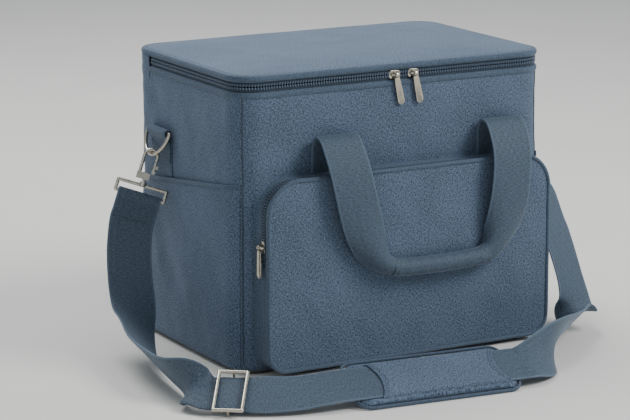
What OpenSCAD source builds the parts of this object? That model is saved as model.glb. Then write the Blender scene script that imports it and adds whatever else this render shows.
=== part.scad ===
// Insulated cooler bag with a zipped lid, a zipped front pocket, two webbing
// handles and a clip-on shoulder strap. Millimetres. +Z is up, the front faces -Y,
// and the origin is the middle of the base.

/* [Body] */
// Width of the bag across the front
body_w = 392; // [388:1:396]
// Depth of the bag from front to back
body_d = 256; // [250:1:262]
// Height of the walls up to the rim
wall_h = 306; // [300:1:312]
// Radius of the four upright corners
corner_r = 30; // [26:1:34]
// Thickness of the woven cover
cover_t = 2; // [1.5:0.1:2.5]
// Thickness of the foam
foam_t = 8; // [6:0.5:9]

/* [Lid] */
// Height from the rim to the top of the lid
lid_rise = 24; // [23:0.5:26]
// Height of the zip line above the rim
zip_rise = 11; // [10.5:0.1:11.5]

/* [Front pocket] */
// Left edge of the front pocket
pocket_x0 = -174; // [-178:1:-170]
// Right edge of the front pocket
pocket_x1 = 184; // [178:1:186]
// Bottom edge of the front pocket
pocket_z0 = 8; // [6:1:12]
// Top edge of the front pocket
pocket_z1 = 216; // [210:1:217]
// Depth of the front pocket
pocket_d = 28; // [26:1:29]
// Height at which the pocket zip ends
pocket_zip_z = 125; // [120:1:130]

/* [Webbing] */
// Width of the webbing
web_w = 50; // [48:1:50]
// Thickness of the webbing
web_t = 2.4; // [2:0.1:2.6]
// Middle of the handles across the front
handle_x = 22; // [18:1:26]
// Distance between the two ends of a handle
handle_span = 212; // [204:1:220]

/* [Hardware] */
// Wire radius of the strap rings
ring_wire = 2.2; // [2:0.1:2.3]
// Wire radius of the snap hooks and wire loops
hook_wire = 1.9; // [1.8:0.1:2]
// Length of a zip pull
pull_l = 34; // [32:1:36]
// Width of a zip pull
pull_w = 8.5; // [8:0.5:9]

/* [Hidden] */
$fn = 48;

fabric = "#4f6179";
fabric_dark = "#3e4d62";
trim = "#42526a";
foil = "#c3c7cb";
foam = "#e6e3da";
board = "#55524c";
nickel = "#b9b6ae";

zip_z = wall_h + zip_rise;
lid_top = wall_h + lid_rise;
skirt_z = wall_h + 17.2;
coil_gap = 1.2;
coil_h = 1.4;
tape_in = cover_t;
tape_t = 1.2;
zip_end_y = 85;
front_y = -body_d / 2;
side_x = body_w / 2;
liner_in = cover_t + foam_t;
// The fabric hinge along the rear edge turns about this height.
hinge_z = wall_h + 5;
hinge_w = 300;

// ---- outlines ----

module rounded(w, d, r) {
    square([w - 2 * r, d], center = true);
    square([w, d - 2 * r], center = true);
    for (sx = [-1, 1], sy = [-1, 1])
        translate([sx * (w / 2 - r), sy * (d / 2 - r)]) circle(r);
}

// Plan outline of the bag, set in from the cover's outside
module plan(inset) {
    rounded(body_w - 2 * inset, body_d - 2 * inset, corner_r - inset);
}

module plan_ring(outer, inner, z0, z1) {
    translate([0, 0, z0])
        linear_extrude(z1 - z0)
            difference() {
                plan(outer);
                plan(inner);
            }
}

module plan_slab(inset, z0, z1) {
    translate([0, 0, z0]) linear_extrude(z1 - z0) plan(inset);
}

// The same ring, open along the rear edge
module plan_u(outer, inner, z0, z1) {
    difference() {
        plan_ring(outer, inner, z0, z1);
        translate([-body_w, zip_end_y, z0 - 1]) cube([2 * body_w, body_d, z1 - z0 + 2]);
    }
}

// ---- swept webbing ----

function unit(v) = v / norm(v);
function first3(s) = [s[0], s[1], s[2]];
function across(s) = [s[3], s[4], s[5]];
// Point k of n between stations b and c of a smooth curve through a, b, c, d
function smooth(a, b, c, d, t) =
    0.5 * (2 * b + (c - a) * t + (2 * a - 5 * b + 4 * c - d) * t * t
        + (3 * b - a - 3 * c + d) * t * t * t);
function station(list, i) =
    i < 0 ? 2 * list[0] - list[1]
    : i >= len(list) ? 2 * list[len(list) - 1] - list[len(list) - 2]
    : list[i];
function smoothed(list, n) = concat(
    [for (i = [0:len(list) - 2], k = [0:n - 1])
        smooth(station(list, i - 1), list[i], list[i + 1], station(list, i + 2), k / n)],
    [list[len(list) - 1]]);
function tangent(list, i) =
    unit(first3(list[min(i + 1, len(list) - 1)]) - first3(list[max(i - 1, 0)]));
function square_to(u, t) = unit(u - (u * t) * t);
function ring_of(s, t, thick, along) =
    let (c = first3(s) + along * t, u = square_to(across(s), t), n = cross(t, u),
        a = u * s[6] / 2, b = n * thick / 2)
    [c - a - b, c + a - b, c + a + b, c - a + b];

// A flat band along path points a to b, its two ends pulled in by end_gap
module ribbon(path, a, b, thick, end_gap) {
    points = [for (i = [a:b])
        let (along = i == a ? end_gap : i == b ? -end_gap : 0)
        each ring_of(path[i], tangent(path, i), thick, along)];
    sides = [for (i = [0:b - a - 1], j = [0:3])
        let (k = (j + 1) % 4, p = 4 * i, q = 4 * i + 4)
        each [[p + j, q + j, q + k], [p + j, q + k, p + k]]];
    last = 4 * (b - a);
    ends = [[0, 1, 2], [0, 2, 3], [last + 2, last + 1, last], [last + 3, last + 2, last]];
    polyhedron(points, concat(sides, ends), convexity = 6);
}

// A flat band through stations of [place, direction across, width]
module band(stations, steps, thick) {
    path = smoothed(stations, steps);
    ribbon(path, 0, len(path) - 1, thick, 0);
}

// ---- body ----

module outer_shell() {
    color(fabric)
        difference() {
            plan_slab(0, 0, wall_h);
            plan_slab(cover_t, cover_t, wall_h + 1);
        }
}

board_top = cover_t + 3;

module base_board() {
    color(board) plan_slab(cover_t, cover_t, board_top);
}

module floor_foam() {
    color(foam) plan_slab(liner_in, board_top, board_top + foam_t);
}

module wall_foam() {
    color(foam) plan_ring(cover_t, liner_in, board_top, wall_h - 4);
}

module rim_binding() {
    color(trim) plan_ring(cover_t, liner_in, wall_h - 4, wall_h);
}

module foil_liner() {
    color(foil)
        difference() {
            plan_slab(liner_in, board_top + foam_t, wall_h);
            plan_slab(liner_in + 1, board_top + foam_t + 1, wall_h + 1);
        }
}

module rim_piping() {
    color(trim) plan_u(-2.2, 1.9, wall_h, wall_h + 4.5);
}

module body_zip_tape() {
    color(fabric_dark) plan_u(tape_in, tape_in + tape_t, wall_h, zip_z - coil_gap / 2 - coil_h);
}

module body_zip_coil() {
    color(fabric_dark)
        plan_u(tape_in - 0.4, tape_in + tape_t + 0.4,
            zip_z - coil_gap / 2 - coil_h, zip_z - coil_gap / 2);
}

module hinge_strip(z0, z1) {
    translate([-hinge_w / 2, body_d / 2, z0]) cube([hinge_w, 1.2, z1 - z0]);
}

module hinge_strip_lower() {
    color(fabric) hinge_strip(wall_h - 10, hinge_z - 1);
}

module hinge_strip_upper() {
    color(fabric) hinge_strip(hinge_z + 1, skirt_z + 0.6);
}

// ---- lid ----

foam_in = 6.5;

module lid_cover() {
    color(fabric) {
        plan_slab(0, lid_top - 2, lid_top);
        plan_ring(0, cover_t, skirt_z, lid_top - 2);
    }
}

module lid_piping() {
    color(trim) plan_ring(-2.4, 0, skirt_z + 0.8, lid_top - 1);
}

module lid_foam() {
    color(foam) plan_slab(foam_in, zip_z + 2.4, lid_top - 2.2);
}

module lid_liner() {
    color(foil) plan_slab(foam_in, zip_z + 1.3, zip_z + 2.3);
}

module lid_zip_tape() {
    color(fabric_dark) plan_u(tape_in, tape_in + tape_t, zip_z + coil_gap / 2 + coil_h, lid_top - 2);
}

module lid_zip_coil() {
    color(fabric_dark)
        plan_u(tape_in - 0.4, tape_in + tape_t + 0.4,
            zip_z + coil_gap / 2, zip_z + coil_gap / 2 + coil_h);
}

// ---- front pocket ----

pocket_top_r = 38;
pocket_low_r = 22;
gusset_t = 1.5;
panel_t = 2;
// Distances out from the front wall
pocket_coil = pocket_d - 14;

// Outline of the pocket seen from the front
module pocket_outline(inset) {
    x0 = pocket_x0 + inset;
    x1 = pocket_x1 - inset;
    z0 = pocket_z0 + inset;
    z1 = pocket_z1 - inset;
    rt = pocket_top_r - inset;
    rb = pocket_low_r - inset;
    translate([x0 + rb, z0]) square([x1 - x0 - 2 * rb, rb]);
    translate([x0, z0 + rb]) square([x1 - x0, z1 - z0 - rb - rt]);
    translate([x0 + rt, z1 - rt]) square([x1 - x0 - 2 * rt, rt]);
    translate([x0 + rb, z0 + rb]) circle(rb);
    translate([x1 - rb, z0 + rb]) circle(rb);
    translate([x0 + rt, z1 - rt]) circle(rt);
    translate([x1 - rt, z1 - rt]) circle(rt);
}

// A ring of the pocket outline, from one distance off the front wall to another
module pocket_ring(outer, inner, from, to) {
    translate([0, front_y - from, 0])
        rotate([90, 0, 0])
            linear_extrude(to - from)
                difference() {
                    pocket_outline(outer);
                    pocket_outline(inner);
                }
}

module pocket_slab(inset, from, to) {
    translate([0, front_y - from, 0])
        rotate([90, 0, 0]) linear_extrude(to - from) pocket_outline(inset);
}

module below_zip(gap) {
    intersection() {
        children();
        translate([-body_w, -body_d, -1]) cube([2 * body_w, body_d, pocket_zip_z - gap + 1]);
    }
}

module above_zip(gap) {
    intersection() {
        children();
        translate([-body_w, -body_d, pocket_zip_z + gap]) cube([2 * body_w, body_d, wall_h]);
    }
}

module pocket_gusset() {
    color(fabric_dark)
        difference() {
            union() {
                below_zip(0) pocket_ring(0, gusset_t, -20, pocket_d - panel_t);
                above_zip(0) pocket_ring(0, gusset_t, -20, pocket_coil - 2);
            }
            plan_slab(0, -1, wall_h + 1);
        }
}

module pocket_zip_coil_rear() {
    color(fabric_dark)
        above_zip(0.6) pocket_ring(-0.4, gusset_t + 0.4, pocket_coil - 2, pocket_coil - coil_gap / 2);
}

module pocket_zip_coil_front() {
    color(fabric_dark) {
        above_zip(1) pocket_ring(-0.4, gusset_t + 0.4, pocket_coil + coil_gap / 2, pocket_coil + 2);
        above_zip(1) pocket_ring(0, gusset_t, pocket_coil + 2, pocket_d - panel_t);
    }
}

module pocket_panel_lower() {
    color(fabric) below_zip(0.5) pocket_slab(0, pocket_d - panel_t, pocket_d);
}

module pocket_panel_upper() {
    color(fabric) above_zip(0.5) pocket_slab(0, pocket_d - panel_t, pocket_d);
}

module pocket_piping_lower() {
    color(trim) below_zip(0.5) pocket_ring(-2.2, 0, pocket_d - 4, pocket_d);
}

module pocket_piping_upper() {
    color(trim) above_zip(0.5) pocket_ring(-2.2, 0, pocket_d - 4, pocket_d);
}

// ---- side pockets ----

side_gap = 3.4;
// Turn that brings the pocket close to the wall at the rear and off it at the front
side_turn = 2.2;
side_t = 1.5;
side_y = 112;
// The hem rises towards the front.
hem_mid_z = 196;
hem_slope = 0.12;
side_bottom = 3;

module side_band(outer, inner, y0, y1, z0, z1_rear, z1_front) {
    intersection() {
        plan_ring(outer, inner, z0, wall_h);
        rotate([90, 0, 90])
            linear_extrude(body_w)
                polygon([[y0, z0], [y1, z0], [y1, z1_rear], [y0, z1_front]]);
    }
}

function hem_z(y) = hem_mid_z - hem_slope * y;

module side_pocket() {
    color(fabric)
        difference() {
            rotate([0, 0, side_turn]) {
                side_band(-side_gap - side_t, -side_gap, -side_y, side_y,
                    side_bottom, hem_z(side_y), hem_z(-side_y));
                side_band(-side_gap, 4, -side_y, side_y, side_bottom, side_bottom + 3, side_bottom + 3);
                for (end = [[-side_y, -side_y + 3], [side_y - 3, side_y]])
                    side_band(-side_gap, 4, end[0], end[1], side_bottom, hem_z(end[1]), hem_z(end[0]));
            }
            plan_slab(0, -1, wall_h + 1);
        }
}

module side_pocket_right() {
    side_pocket();
}

module side_pocket_left() {
    mirror([1, 0, 0]) side_pocket();
}

// ---- strap rings and their tabs, drawn for the right side ----

ring_x = side_x + 7;
ring_y = 51;
ring_z = 243;
ring_r = 27;
tab_tube_r = 4.6;
tab_w = 46;
// Outward tilt, forward lean and turn of each hanging hook
tilt_left = 22;
tilt_right = 30;
lean_left = 5;
lean_right = 36;
turn_left = 29;
turn_right = 36;

module ring_tab() {
    color(trim)
        difference() {
            union() {
                translate([side_x, ring_y - web_w / 2, 206]) cube([web_t, web_w, ring_z - 203]);
                translate([ring_x, ring_y - tab_w / 2, ring_z])
                    rotate([-90, 0, 0]) cylinder(r = tab_tube_r, h = tab_w);
                translate([side_x, ring_y - tab_w / 2, ring_z - 1])
                    cube([ring_x - side_x, tab_w, tab_tube_r]);
            }
            translate([ring_x, ring_y - web_w, ring_z])
                rotate([-90, 0, 0]) cylinder(r = ring_wire + 0.35, h = 2 * web_w);
            translate([side_x - body_w, -body_d, 0]) cube([body_w, 2 * body_d, wall_h]);
        }
}

module ring_tab_right() {
    ring_tab();
}

module ring_tab_left() {
    mirror([1, 0, 0]) ring_tab();
}

// Half ring in the plane through the bar, hanging down
module strap_ring(tilt) {
    color(nickel)
        translate([ring_x, ring_y, ring_z])
            rotate([0, -tilt, 0]) {
                rotate([90, 0, 0]) cylinder(r = ring_wire, h = 2 * ring_r, center = true);
                rotate([0, 0, 90]) rotate([-90, 0, 0])
                    rotate_extrude(angle = 180) translate([ring_r, 0]) circle(ring_wire);
                for (s = [-1, 1]) translate([0, s * ring_r, 0]) sphere(ring_wire);
            }
}

module strap_ring_right() {
    strap_ring(tilt_right);
}

module strap_ring_left() {
    mirror([1, 0, 0]) strap_ring(tilt_left);
}

// Frame of a hanging hook: origin on the ring's bar, -Z along the hook
module hanging(tilt, lean, turn) {
    translate([ring_x, ring_y, ring_z])
        rotate([0, -tilt, 0]) rotate([-lean, 0, 0]) rotate([0, 0, turn]) children();
}

module left_hanging() {
    mirror([1, 0, 0]) hanging(tilt_left, lean_left, turn_left) children();
}

module right_hanging() {
    hanging(tilt_right, lean_right, turn_right) children();
}

eye_r = 7.5;
eye_z = -30;
gate_top = -36;
gate_low = -49;
hook_base = -50;
post_z = -59;
loop_top = -64;
loop_low = -76;
loop_w = 56;

module upright(x, z0, z1, r) {
    translate([x, 0, z0]) cylinder(r = r, h = z1 - z0);
}

// Open eye, one fixed side, and the base that the swivel post enters
module snap_hook() {
    color(nickel)
        difference() {
            union() {
                translate([0, 0, eye_z])
                    rotate([90, 0, 0])
                        rotate_extrude(angle = 180) translate([eye_r, 0]) circle(hook_wire);
                upright(eye_r, hook_base, eye_z, hook_wire);
                upright(-eye_r, gate_top + 1.4, eye_z, hook_wire);
                translate([-5, -3.2, hook_base - 7]) cube([15, 6.4, 7.6]);
                translate([0, 0, hook_base - 3.5])
                    rotate([90, 0, 0]) cylinder(r = 4.2, h = 8.4, center = true);
            }
            upright(0, hook_base - 8, hook_base - 3, 2.1);
        }
}

module snap_hook_left() {
    left_hanging() snap_hook();
}

module snap_hook_right() {
    right_hanging() snap_hook();
}

module hook_gate() {
    color(nickel) {
        upright(-eye_r, gate_low + 1, gate_top + 0.6, 1.6);
        translate([-eye_r, 0, gate_low + 2]) rotate([90, 0, 0]) cylinder(r = 2.2, h = 5, center = true);
        translate([-eye_r - 3.6, -1.4, gate_low + 6]) cube([3, 2.8, 4]);
    }
}

module hook_gate_left() {
    left_hanging() hook_gate();
}

module hook_gate_right() {
    right_hanging() hook_gate();
}

// Swivel post and the rectangular wire that the webbing goes round
module wire_loop() {
    color(nickel) {
        upright(0, loop_top, hook_base - 3.6, 2);
        upright(0, loop_top - 1, post_z - 1, 4);
        for (z = [loop_top, loop_low])
            translate([0, 0, z]) rotate([0, 90, 0]) cylinder(r = hook_wire, h = loop_w, center = true);
        for (s = [-1, 1]) {
            upright(s * loop_w / 2, loop_low, loop_top, hook_wire);
            translate([s * loop_w / 2, 0, loop_low]) sphere(hook_wire);
            translate([s * loop_w / 2, 0, loop_top]) sphere(hook_wire);
        }
    }
}

module wire_loop_left() {
    left_hanging() wire_loop();
}

module wire_loop_right() {
    right_hanging() wire_loop();
}

fold_l = 27;

// Webbing folded round the low wire and sewn down
module strap_end() {
    color(fabric)
        difference() {
            union() {
                translate([0, 0, loop_low])
                    rotate([0, 90, 0]) cylinder(r = hook_wire + 2, h = web_w, center = true);
                translate([-web_w / 2, -2, loop_low - fold_l]) cube([web_w, 4, fold_l]);
            }
            translate([0, 0, loop_low])
                rotate([0, 90, 0]) cylinder(r = hook_wire + 0.1, h = 2 * web_w, center = true);
        }
}

module strap_end_left() {
    left_hanging() strap_end();
}

module strap_end_right() {
    right_hanging() strap_end();
}

// ---- shoulder strap: place, direction across, width ----

left_leg = [
    [-243.7, 41.5, 142.3, -0.83, 0.48, 0.29, 50],
    [-248, 38.5, 115, -0.86, 0.48, 0.12, 50],
    [-250, 33, 83, -0.87, 0.48, 0.05, 50],
    [-253, 18, 54, -0.84, 0.42, 0.30, 50],
    [-262, -10, 36, -0.76, 0.20, 0.60, 50],
    [-277, -58, 25, -0.68, 0.10, 0.72, 50],
    [-287, -110, 23, -0.62, 0.05, 0.77, 50],
    [-292, -160, 24, -0.50, 0.02, 0.86, 50],
    [-291.5, -194, 25.5, 0.15, 0.35, 0.92, 49]];
front_run = [
    [-288.5, -207, 22.5, 0.46, 0.63, 0.63, 46],
    [-281, -217.6, 18.7, 0.504, 0.693, 0.515, 46],
    [-268, -227, 18.7, 0.504, 0.693, 0.515, 46],
    [-255, -236.4, 18.7, 0.504, 0.693, 0.515, 46],
    [-233, -249, 18, 0.27, 0.78, 0.55, 49],
    [-206, -259.5, 18.3, 0.14, 0.86, 0.48, 50],
    [-178, -265.9, 19.6, 0.085, 0.902, 0.423, 50],
    [-156, -268, 20.4, 0.085, 0.902, 0.423, 50],
    [-100, -273.3, 20.4, 0.085, 0.902, 0.423, 50],
    [0, -282.7, 20.4, 0.085, 0.902, 0.423, 50],
    [36, -286.1, 20.4, 0.085, 0.902, 0.423, 50],
    [56, -288, 20.4, 0.085, 0.902, 0.423, 50],
    [68, -289.1, 20.4, 0.085, 0.902, 0.423, 50]];
right_leg = [
    [92, -281, 21, 0.05, 0.72, 0.69, 50],
    [118, -262, 25, 0.10, 0.30, 0.95, 50],
    [142, -239, 26.5, 0.22, -0.20, 0.95, 50],
    [168, -213, 25, 0.40, -0.42, 0.82, 50],
    [196, -187, 22, 0.58, -0.36, 0.73, 50],
    [218, -164, 20, 0.74, -0.05, 0.66, 50],
    [231, -148, 26, 0.86, 0.28, 0.40, 50],
    [236, -134, 46, 0.88, 0.42, 0.15, 50],
    [238, -114, 76, 0.88, 0.46, 0.08, 50],
    [242, -91, 102, 0.88, 0.47, 0.06, 50],
    [246, -69, 121, 0.88, 0.48, 0.06, 50],
    [250, -48, 138, 0.88, 0.48, 0.08, 50],
    [252, -30, 151, 0.87, 0.48, 0.10, 50],
    [250.4, -18.1, 160.9, 0.873, 0.476, 0.105, 50],
    [246.2, -11.9, 168.2, 0.873, 0.476, 0.105, 50]];
strap_path = smoothed(concat(left_leg, front_run, right_leg), 4);
run_from = 4 * len(left_leg);
run_to = run_from + 4 * (len(front_run) - 1);

module strap_part(a, b) {
    color(fabric) ribbon(strap_path, a, b, web_t, 0.3);
}

module strap_left_leg() {
    strap_part(0, run_from);
}

module strap_front_run() {
    strap_part(run_from, run_to);
}

module strap_right_leg() {
    strap_part(run_to, len(strap_path) - 1);
}

// ---- pieces on the shoulder strap ----

// The straight stretch under the pad: a place on it, its turn and its lean
run_place = [0, -282.7, 20.4];
run_turn = -5.4;
run_lean = 25;
adjust_l = 30;
adjust_h = 54;
adjust_place = [-261.5, -231.7, 18.7];
adjust_turn = -36;
adjust_lean = 31;
// Clearance from the middle of the webbing to the wires in front and behind
wire_off = 4.4;

// Rectangular wire with a middle bar. The webbing passes behind the two upright
// sides and in front of the middle bar.
module slide_adjuster() {
    color(nickel)
        translate(adjust_place)
            rotate([0, 0, adjust_turn]) rotate([adjust_lean - 90, 0, 0]) {
                for (s = [-1, 1]) {
                    translate([s * adjust_l / 2, -wire_off, 0])
                        cylinder(r = 2, h = adjust_h, center = true);
                    translate([0, -wire_off, s * adjust_h / 2])
                        rotate([0, 90, 0]) cylinder(r = 2, h = adjust_l, center = true);
                    for (e = [-1, 1])
                        translate([s * adjust_l / 2, -wire_off, e * adjust_h / 2]) sphere(2);
                    translate([0, 0, s * (adjust_h / 2 - 1)])
                        rotate([90, 0, 0]) cylinder(r = 1.6, h = 2 * wire_off - 0.8, center = true);
                }
                translate([0, wire_off - 0.4, 0]) cylinder(r = 1.6, h = adjust_h - 4, center = true);
            }
}

pad_x0 = -141;
pad_x1 = 48;
pad_w = 70;
pad_t = 4;
sleeve_x0 = -108;
sleeve_x1 = 32;
sleeve_w = 58;

module pad_plate(x0, x1, w, r, y0, y1) {
    translate([0, y0, 0])
        rotate([-90, 0, 0])
            linear_extrude(y1 - y0)
                translate([(x0 + x1) / 2, 0]) rounded(x1 - x0, w, r);
}

// Padded base behind the webbing
module shoulder_pad() {
    color(fabric)
        translate(run_place)
            rotate([0, 0, run_turn]) rotate([run_lean - 90, 0, 0])
                pad_plate(pad_x0, pad_x1, pad_w, 14, 1.7, 1.7 + pad_t);
}

// Upper layer of the pad, over the webbing and sewn down along both edges
module pad_sleeve() {
    color(fabric)
        translate(run_place)
            rotate([0, 0, run_turn]) rotate([run_lean - 90, 0, 0])
                difference() {
                    pad_plate(sleeve_x0, sleeve_x1, sleeve_w, 4, -3.2, 1.7);
                    translate([-body_w / 2, -1.7, -web_w / 2 - 1]) cube([body_w, 4, web_w + 2]);
                }
}

// ---- handles ----

grip_r = 8.5;
grip_l = 130;
grip_x = handle_x + 10;
grip_y = -170;
grip_z = 112;
// The webbing turns down over this line.
crest_y = -141;
crest_z = 257;

module anchor(x) {
    band([
        [x, front_y - 1.25, 219, 1, 0, 0, web_w],
        [x, front_y - 1.25, 232, 1, 0, 0, web_w],
        [x, front_y - 1.6, 246, 1, 0, 0, web_w],
        [x, front_y - 5, 255, 1, 0, 0, web_w],
        [x, crest_y + 1.6, crest_z, 1, 0, 0, web_w]], 3, web_t);
}

module handle_anchors() {
    color(fabric)
        for (s = [-1, 1]) anchor(handle_x + s * handle_span / 2);
}

module front_handle_anchors() {
    handle_anchors();
}

module rear_handle_anchors() {
    mirror([0, 1, 0]) handle_anchors();
}

module handle_leg(s) {
    x = handle_x + s * handle_span / 2;
    end_x = grip_x + s * (grip_l / 2 + 8.5);
    band([
        [x, crest_y - 1.8, crest_z - 0.4, 1, 0, 0, web_w],
        [x, crest_y - 14, 249, 1, 0, 0, web_w],
        [x - s * 4, crest_y - 27, 226, 1, 0, 0, web_w],
        [x - s * 12, crest_y - 32, 194, 1, 0, -s * 0.15, web_w],
        [x - s * 22, crest_y - 32, 160, 1, 0, -s * 0.4, 44],
        [end_x + s * 6, crest_y - 30, 130, 0.8, 0, -s * 0.6, 30],
        [end_x, crest_y - 29, grip_z + 2, 0.5, 0, -s * 0.86, 18]], 3, web_t);
}

module handle_webbing() {
    color(fabric)
        for (s = [-1, 1]) handle_leg(s);
}

module handle_grip() {
    color(fabric)
        translate([grip_x - grip_l / 2, grip_y, grip_z])
            rotate([0, 90, 0]) cylinder(r = grip_r, h = grip_l);
}

module front_handle_webbing() {
    handle_webbing();
}

module front_handle_grip() {
    handle_grip();
}

module rear_handle_webbing() {
    mirror([0, 1, 0]) handle_webbing();
}

module rear_handle_grip() {
    mirror([0, 1, 0]) handle_grip();
}

// ---- zip sliders and pulls ----

main_left_x = -3;
main_right_x = 21;
main_coil_t = tape_t + 0.8;
main_coil_y = front_y + tape_in - 0.4;
pocket_coil_t = gusset_t + 0.8;
pocket_coil_x = pocket_x0 - 0.4;
pocket_coil_y = front_y - pocket_coil;
pocket_slider_z = 146;
bar_out = 5;
eye_outer = 3.2;
pull_aside = 12;

// A slider on a coil that lies along X. Y = 0 is the coil's outer face, the plates
// grip it from both sides, and the bridge stands out to -Y.
module slider(coil_t, bridge_turn) {
    color(nickel) {
        for (y = [-1.3, coil_t + 0.3])
            translate([-7, y, -4.6]) cube([14, 1, 9.2]);
        translate([-1.5, -0.6, -0.35]) cube([3, coil_t + 1.2, 0.7]);
        rotate([0, bridge_turn, 0]) {
            for (s = [-1, 1])
                translate([s * 4.3 - 0.7, 0.6 - bar_out, -1.1]) cube([1.4, bar_out - 1.6, 2.2]);
            translate([-5, -0.8 - bar_out, -1.1]) cube([10, 1.6, 2.2]);
        }
    }
}

// A pull whose eye goes round a bar along X at the origin. Its tab hangs to -Z,
// turned sideways in its own plane.
module zip_pull(aside) {
    color(nickel)
        difference() {
            union() {
                rotate([0, 90, 0]) cylinder(r = eye_outer, h = 6.2, center = true);
                rotate([0, -aside, 0]) {
                    translate([0, 0, -pull_l + pull_w / 2])
                        rotate([90, 0, 0]) cylinder(r = pull_w / 2, h = 1.8, center = true);
                    translate([-pull_w / 2, -0.9, -pull_l + pull_w / 2])
                        cube([pull_w, 1.8, pull_l - pull_w / 2 - 6]);
                    translate([-3.1, -0.9, -8]) cube([6.2, 1.8, 6]);
                }
            }
            rotate([0, 90, 0]) cylinder(r = 1.75, h = 8, center = true);
        }
}

module main_slider(x) {
    translate([x, main_coil_y, zip_z]) slider(main_coil_t, 0);
}

module main_pull(x) {
    translate([x, main_coil_y - bar_out, zip_z]) zip_pull(pull_aside);
}

module main_slider_left() {
    main_slider(main_left_x);
}

module main_slider_right() {
    main_slider(main_right_x);
}

module main_pull_left() {
    main_pull(main_left_x);
}

module main_pull_right() {
    main_pull(main_right_x);
}

module pocket_slider() {
    translate([pocket_coil_x, pocket_coil_y, pocket_slider_z])
        rotate([0, -90, 0]) rotate([-90, 0, 0]) slider(pocket_coil_t, 90);
}

module pocket_pull() {
    translate([pocket_coil_x - bar_out, pocket_coil_y, pocket_slider_z])
        rotate([0, 0, 90]) zip_pull(0);
}

// The pocket's right side mirrors its left side.
module other_side() {
    translate([pocket_x0 + pocket_x1, 0, 0]) mirror([1, 0, 0]) children();
}

module pocket_slider_left() {
    pocket_slider();
}

module pocket_slider_right() {
    other_side() pocket_slider();
}

module pocket_pull_left() {
    pocket_pull();
}

module pocket_pull_right() {
    other_side() pocket_pull();
}

outer_shell();
wall_foam();
floor_foam();
base_board();
foil_liner();
rim_binding();
rim_piping();
body_zip_tape();
body_zip_coil();
hinge_strip_lower();
pocket_gusset();
pocket_panel_lower();
pocket_piping_lower();
pocket_zip_coil_rear();
side_pocket_left();
side_pocket_right();
ring_tab_left();
ring_tab_right();
front_handle_anchors();
rear_handle_anchors();
strap_left_leg();
strap_front_run();
strap_right_leg();
lid_cover();
lid_foam();
lid_liner();
lid_piping();
lid_zip_tape();
lid_zip_coil();
hinge_strip_upper();
pocket_panel_upper();
pocket_piping_upper();
pocket_zip_coil_front();
front_handle_webbing();
front_handle_grip();
rear_handle_webbing();
rear_handle_grip();
main_slider_left();
main_slider_right();
main_pull_left();
main_pull_right();
pocket_slider_left();
pocket_slider_right();
pocket_pull_left();
pocket_pull_right();
strap_ring_left();
strap_ring_right();
snap_hook_left();
snap_hook_right();
hook_gate_left();
hook_gate_right();
wire_loop_left();
wire_loop_right();
strap_end_left();
strap_end_right();
slide_adjuster();
shoulder_pad();
pad_sleeve();
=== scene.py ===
"""Insulated cooler bag: the visible pieces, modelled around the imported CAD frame."""

import math

import bmesh
import bpy
import numpy as np
from mathutils import Matrix, Vector, noise


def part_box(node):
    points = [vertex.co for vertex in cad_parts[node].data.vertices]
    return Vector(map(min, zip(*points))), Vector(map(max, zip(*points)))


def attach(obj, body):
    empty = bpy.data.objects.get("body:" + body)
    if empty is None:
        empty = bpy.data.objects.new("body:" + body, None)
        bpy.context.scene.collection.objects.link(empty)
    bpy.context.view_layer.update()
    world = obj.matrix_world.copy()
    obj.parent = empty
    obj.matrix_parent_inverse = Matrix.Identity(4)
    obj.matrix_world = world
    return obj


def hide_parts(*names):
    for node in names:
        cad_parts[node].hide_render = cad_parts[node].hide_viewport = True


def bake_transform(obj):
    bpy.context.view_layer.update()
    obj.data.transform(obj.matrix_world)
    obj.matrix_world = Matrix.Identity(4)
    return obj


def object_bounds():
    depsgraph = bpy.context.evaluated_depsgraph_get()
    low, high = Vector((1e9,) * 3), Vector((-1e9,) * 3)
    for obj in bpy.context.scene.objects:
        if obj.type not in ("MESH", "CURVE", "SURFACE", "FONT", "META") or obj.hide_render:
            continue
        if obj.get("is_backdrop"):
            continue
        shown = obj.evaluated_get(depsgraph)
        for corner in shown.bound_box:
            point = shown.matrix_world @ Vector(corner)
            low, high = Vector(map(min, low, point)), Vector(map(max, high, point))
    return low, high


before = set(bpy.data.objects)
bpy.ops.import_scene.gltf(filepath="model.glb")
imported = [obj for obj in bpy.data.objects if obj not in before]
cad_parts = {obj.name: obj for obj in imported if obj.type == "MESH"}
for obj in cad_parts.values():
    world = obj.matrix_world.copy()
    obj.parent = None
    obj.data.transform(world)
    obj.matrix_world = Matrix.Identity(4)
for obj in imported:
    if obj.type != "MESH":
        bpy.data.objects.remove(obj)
cad_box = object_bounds()

bl_info = {
    "name": "Insulated Cooler Bag",
    "version": (1, 0, 0),
    "blender": (4, 5, 0),
    "location": "3D View > Sidebar > Cooler Bag",
    "description": "Adds the sewn, padded and metal pieces of a cooler bag",
    "category": "Add Mesh",
}

MM = 0.001


def cad_mm(node):
    """Lowest and highest corner of a CAD node, in millimetres."""
    low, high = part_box(node)
    return low / MM, high / MM


# Sizes of the bag, all in millimetres and taken from the frame.
SHELL_LOW, SHELL_HIGH = cad_mm("outer_shell")
HALF_W, HALF_D, WALL_H = SHELL_HIGH
LID_LOW, LID_HIGH = cad_mm("lid_cover")
LOWER_ZIP_LOW, LOWER_ZIP_HIGH = cad_mm("body_zip_coil")
UPPER_ZIP_LOW, UPPER_ZIP_HIGH = cad_mm("lid_zip_coil")
PANEL_LOW = cad_mm("pocket_panel_lower")[0]
PANEL_HIGH = cad_mm("pocket_panel_upper")[1]
LINER_LOW, LINER_HIGH = cad_mm("foil_liner")
GRIP_LOW, GRIP_HIGH = cad_mm("front_handle_grip")

CORNER_R = 30
BASE_R = 10
ZIP_END_Y = LOWER_ZIP_HIGH.y
ZIP_Z = (LOWER_ZIP_HIGH.z + UPPER_ZIP_LOW.z) / 2

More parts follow.
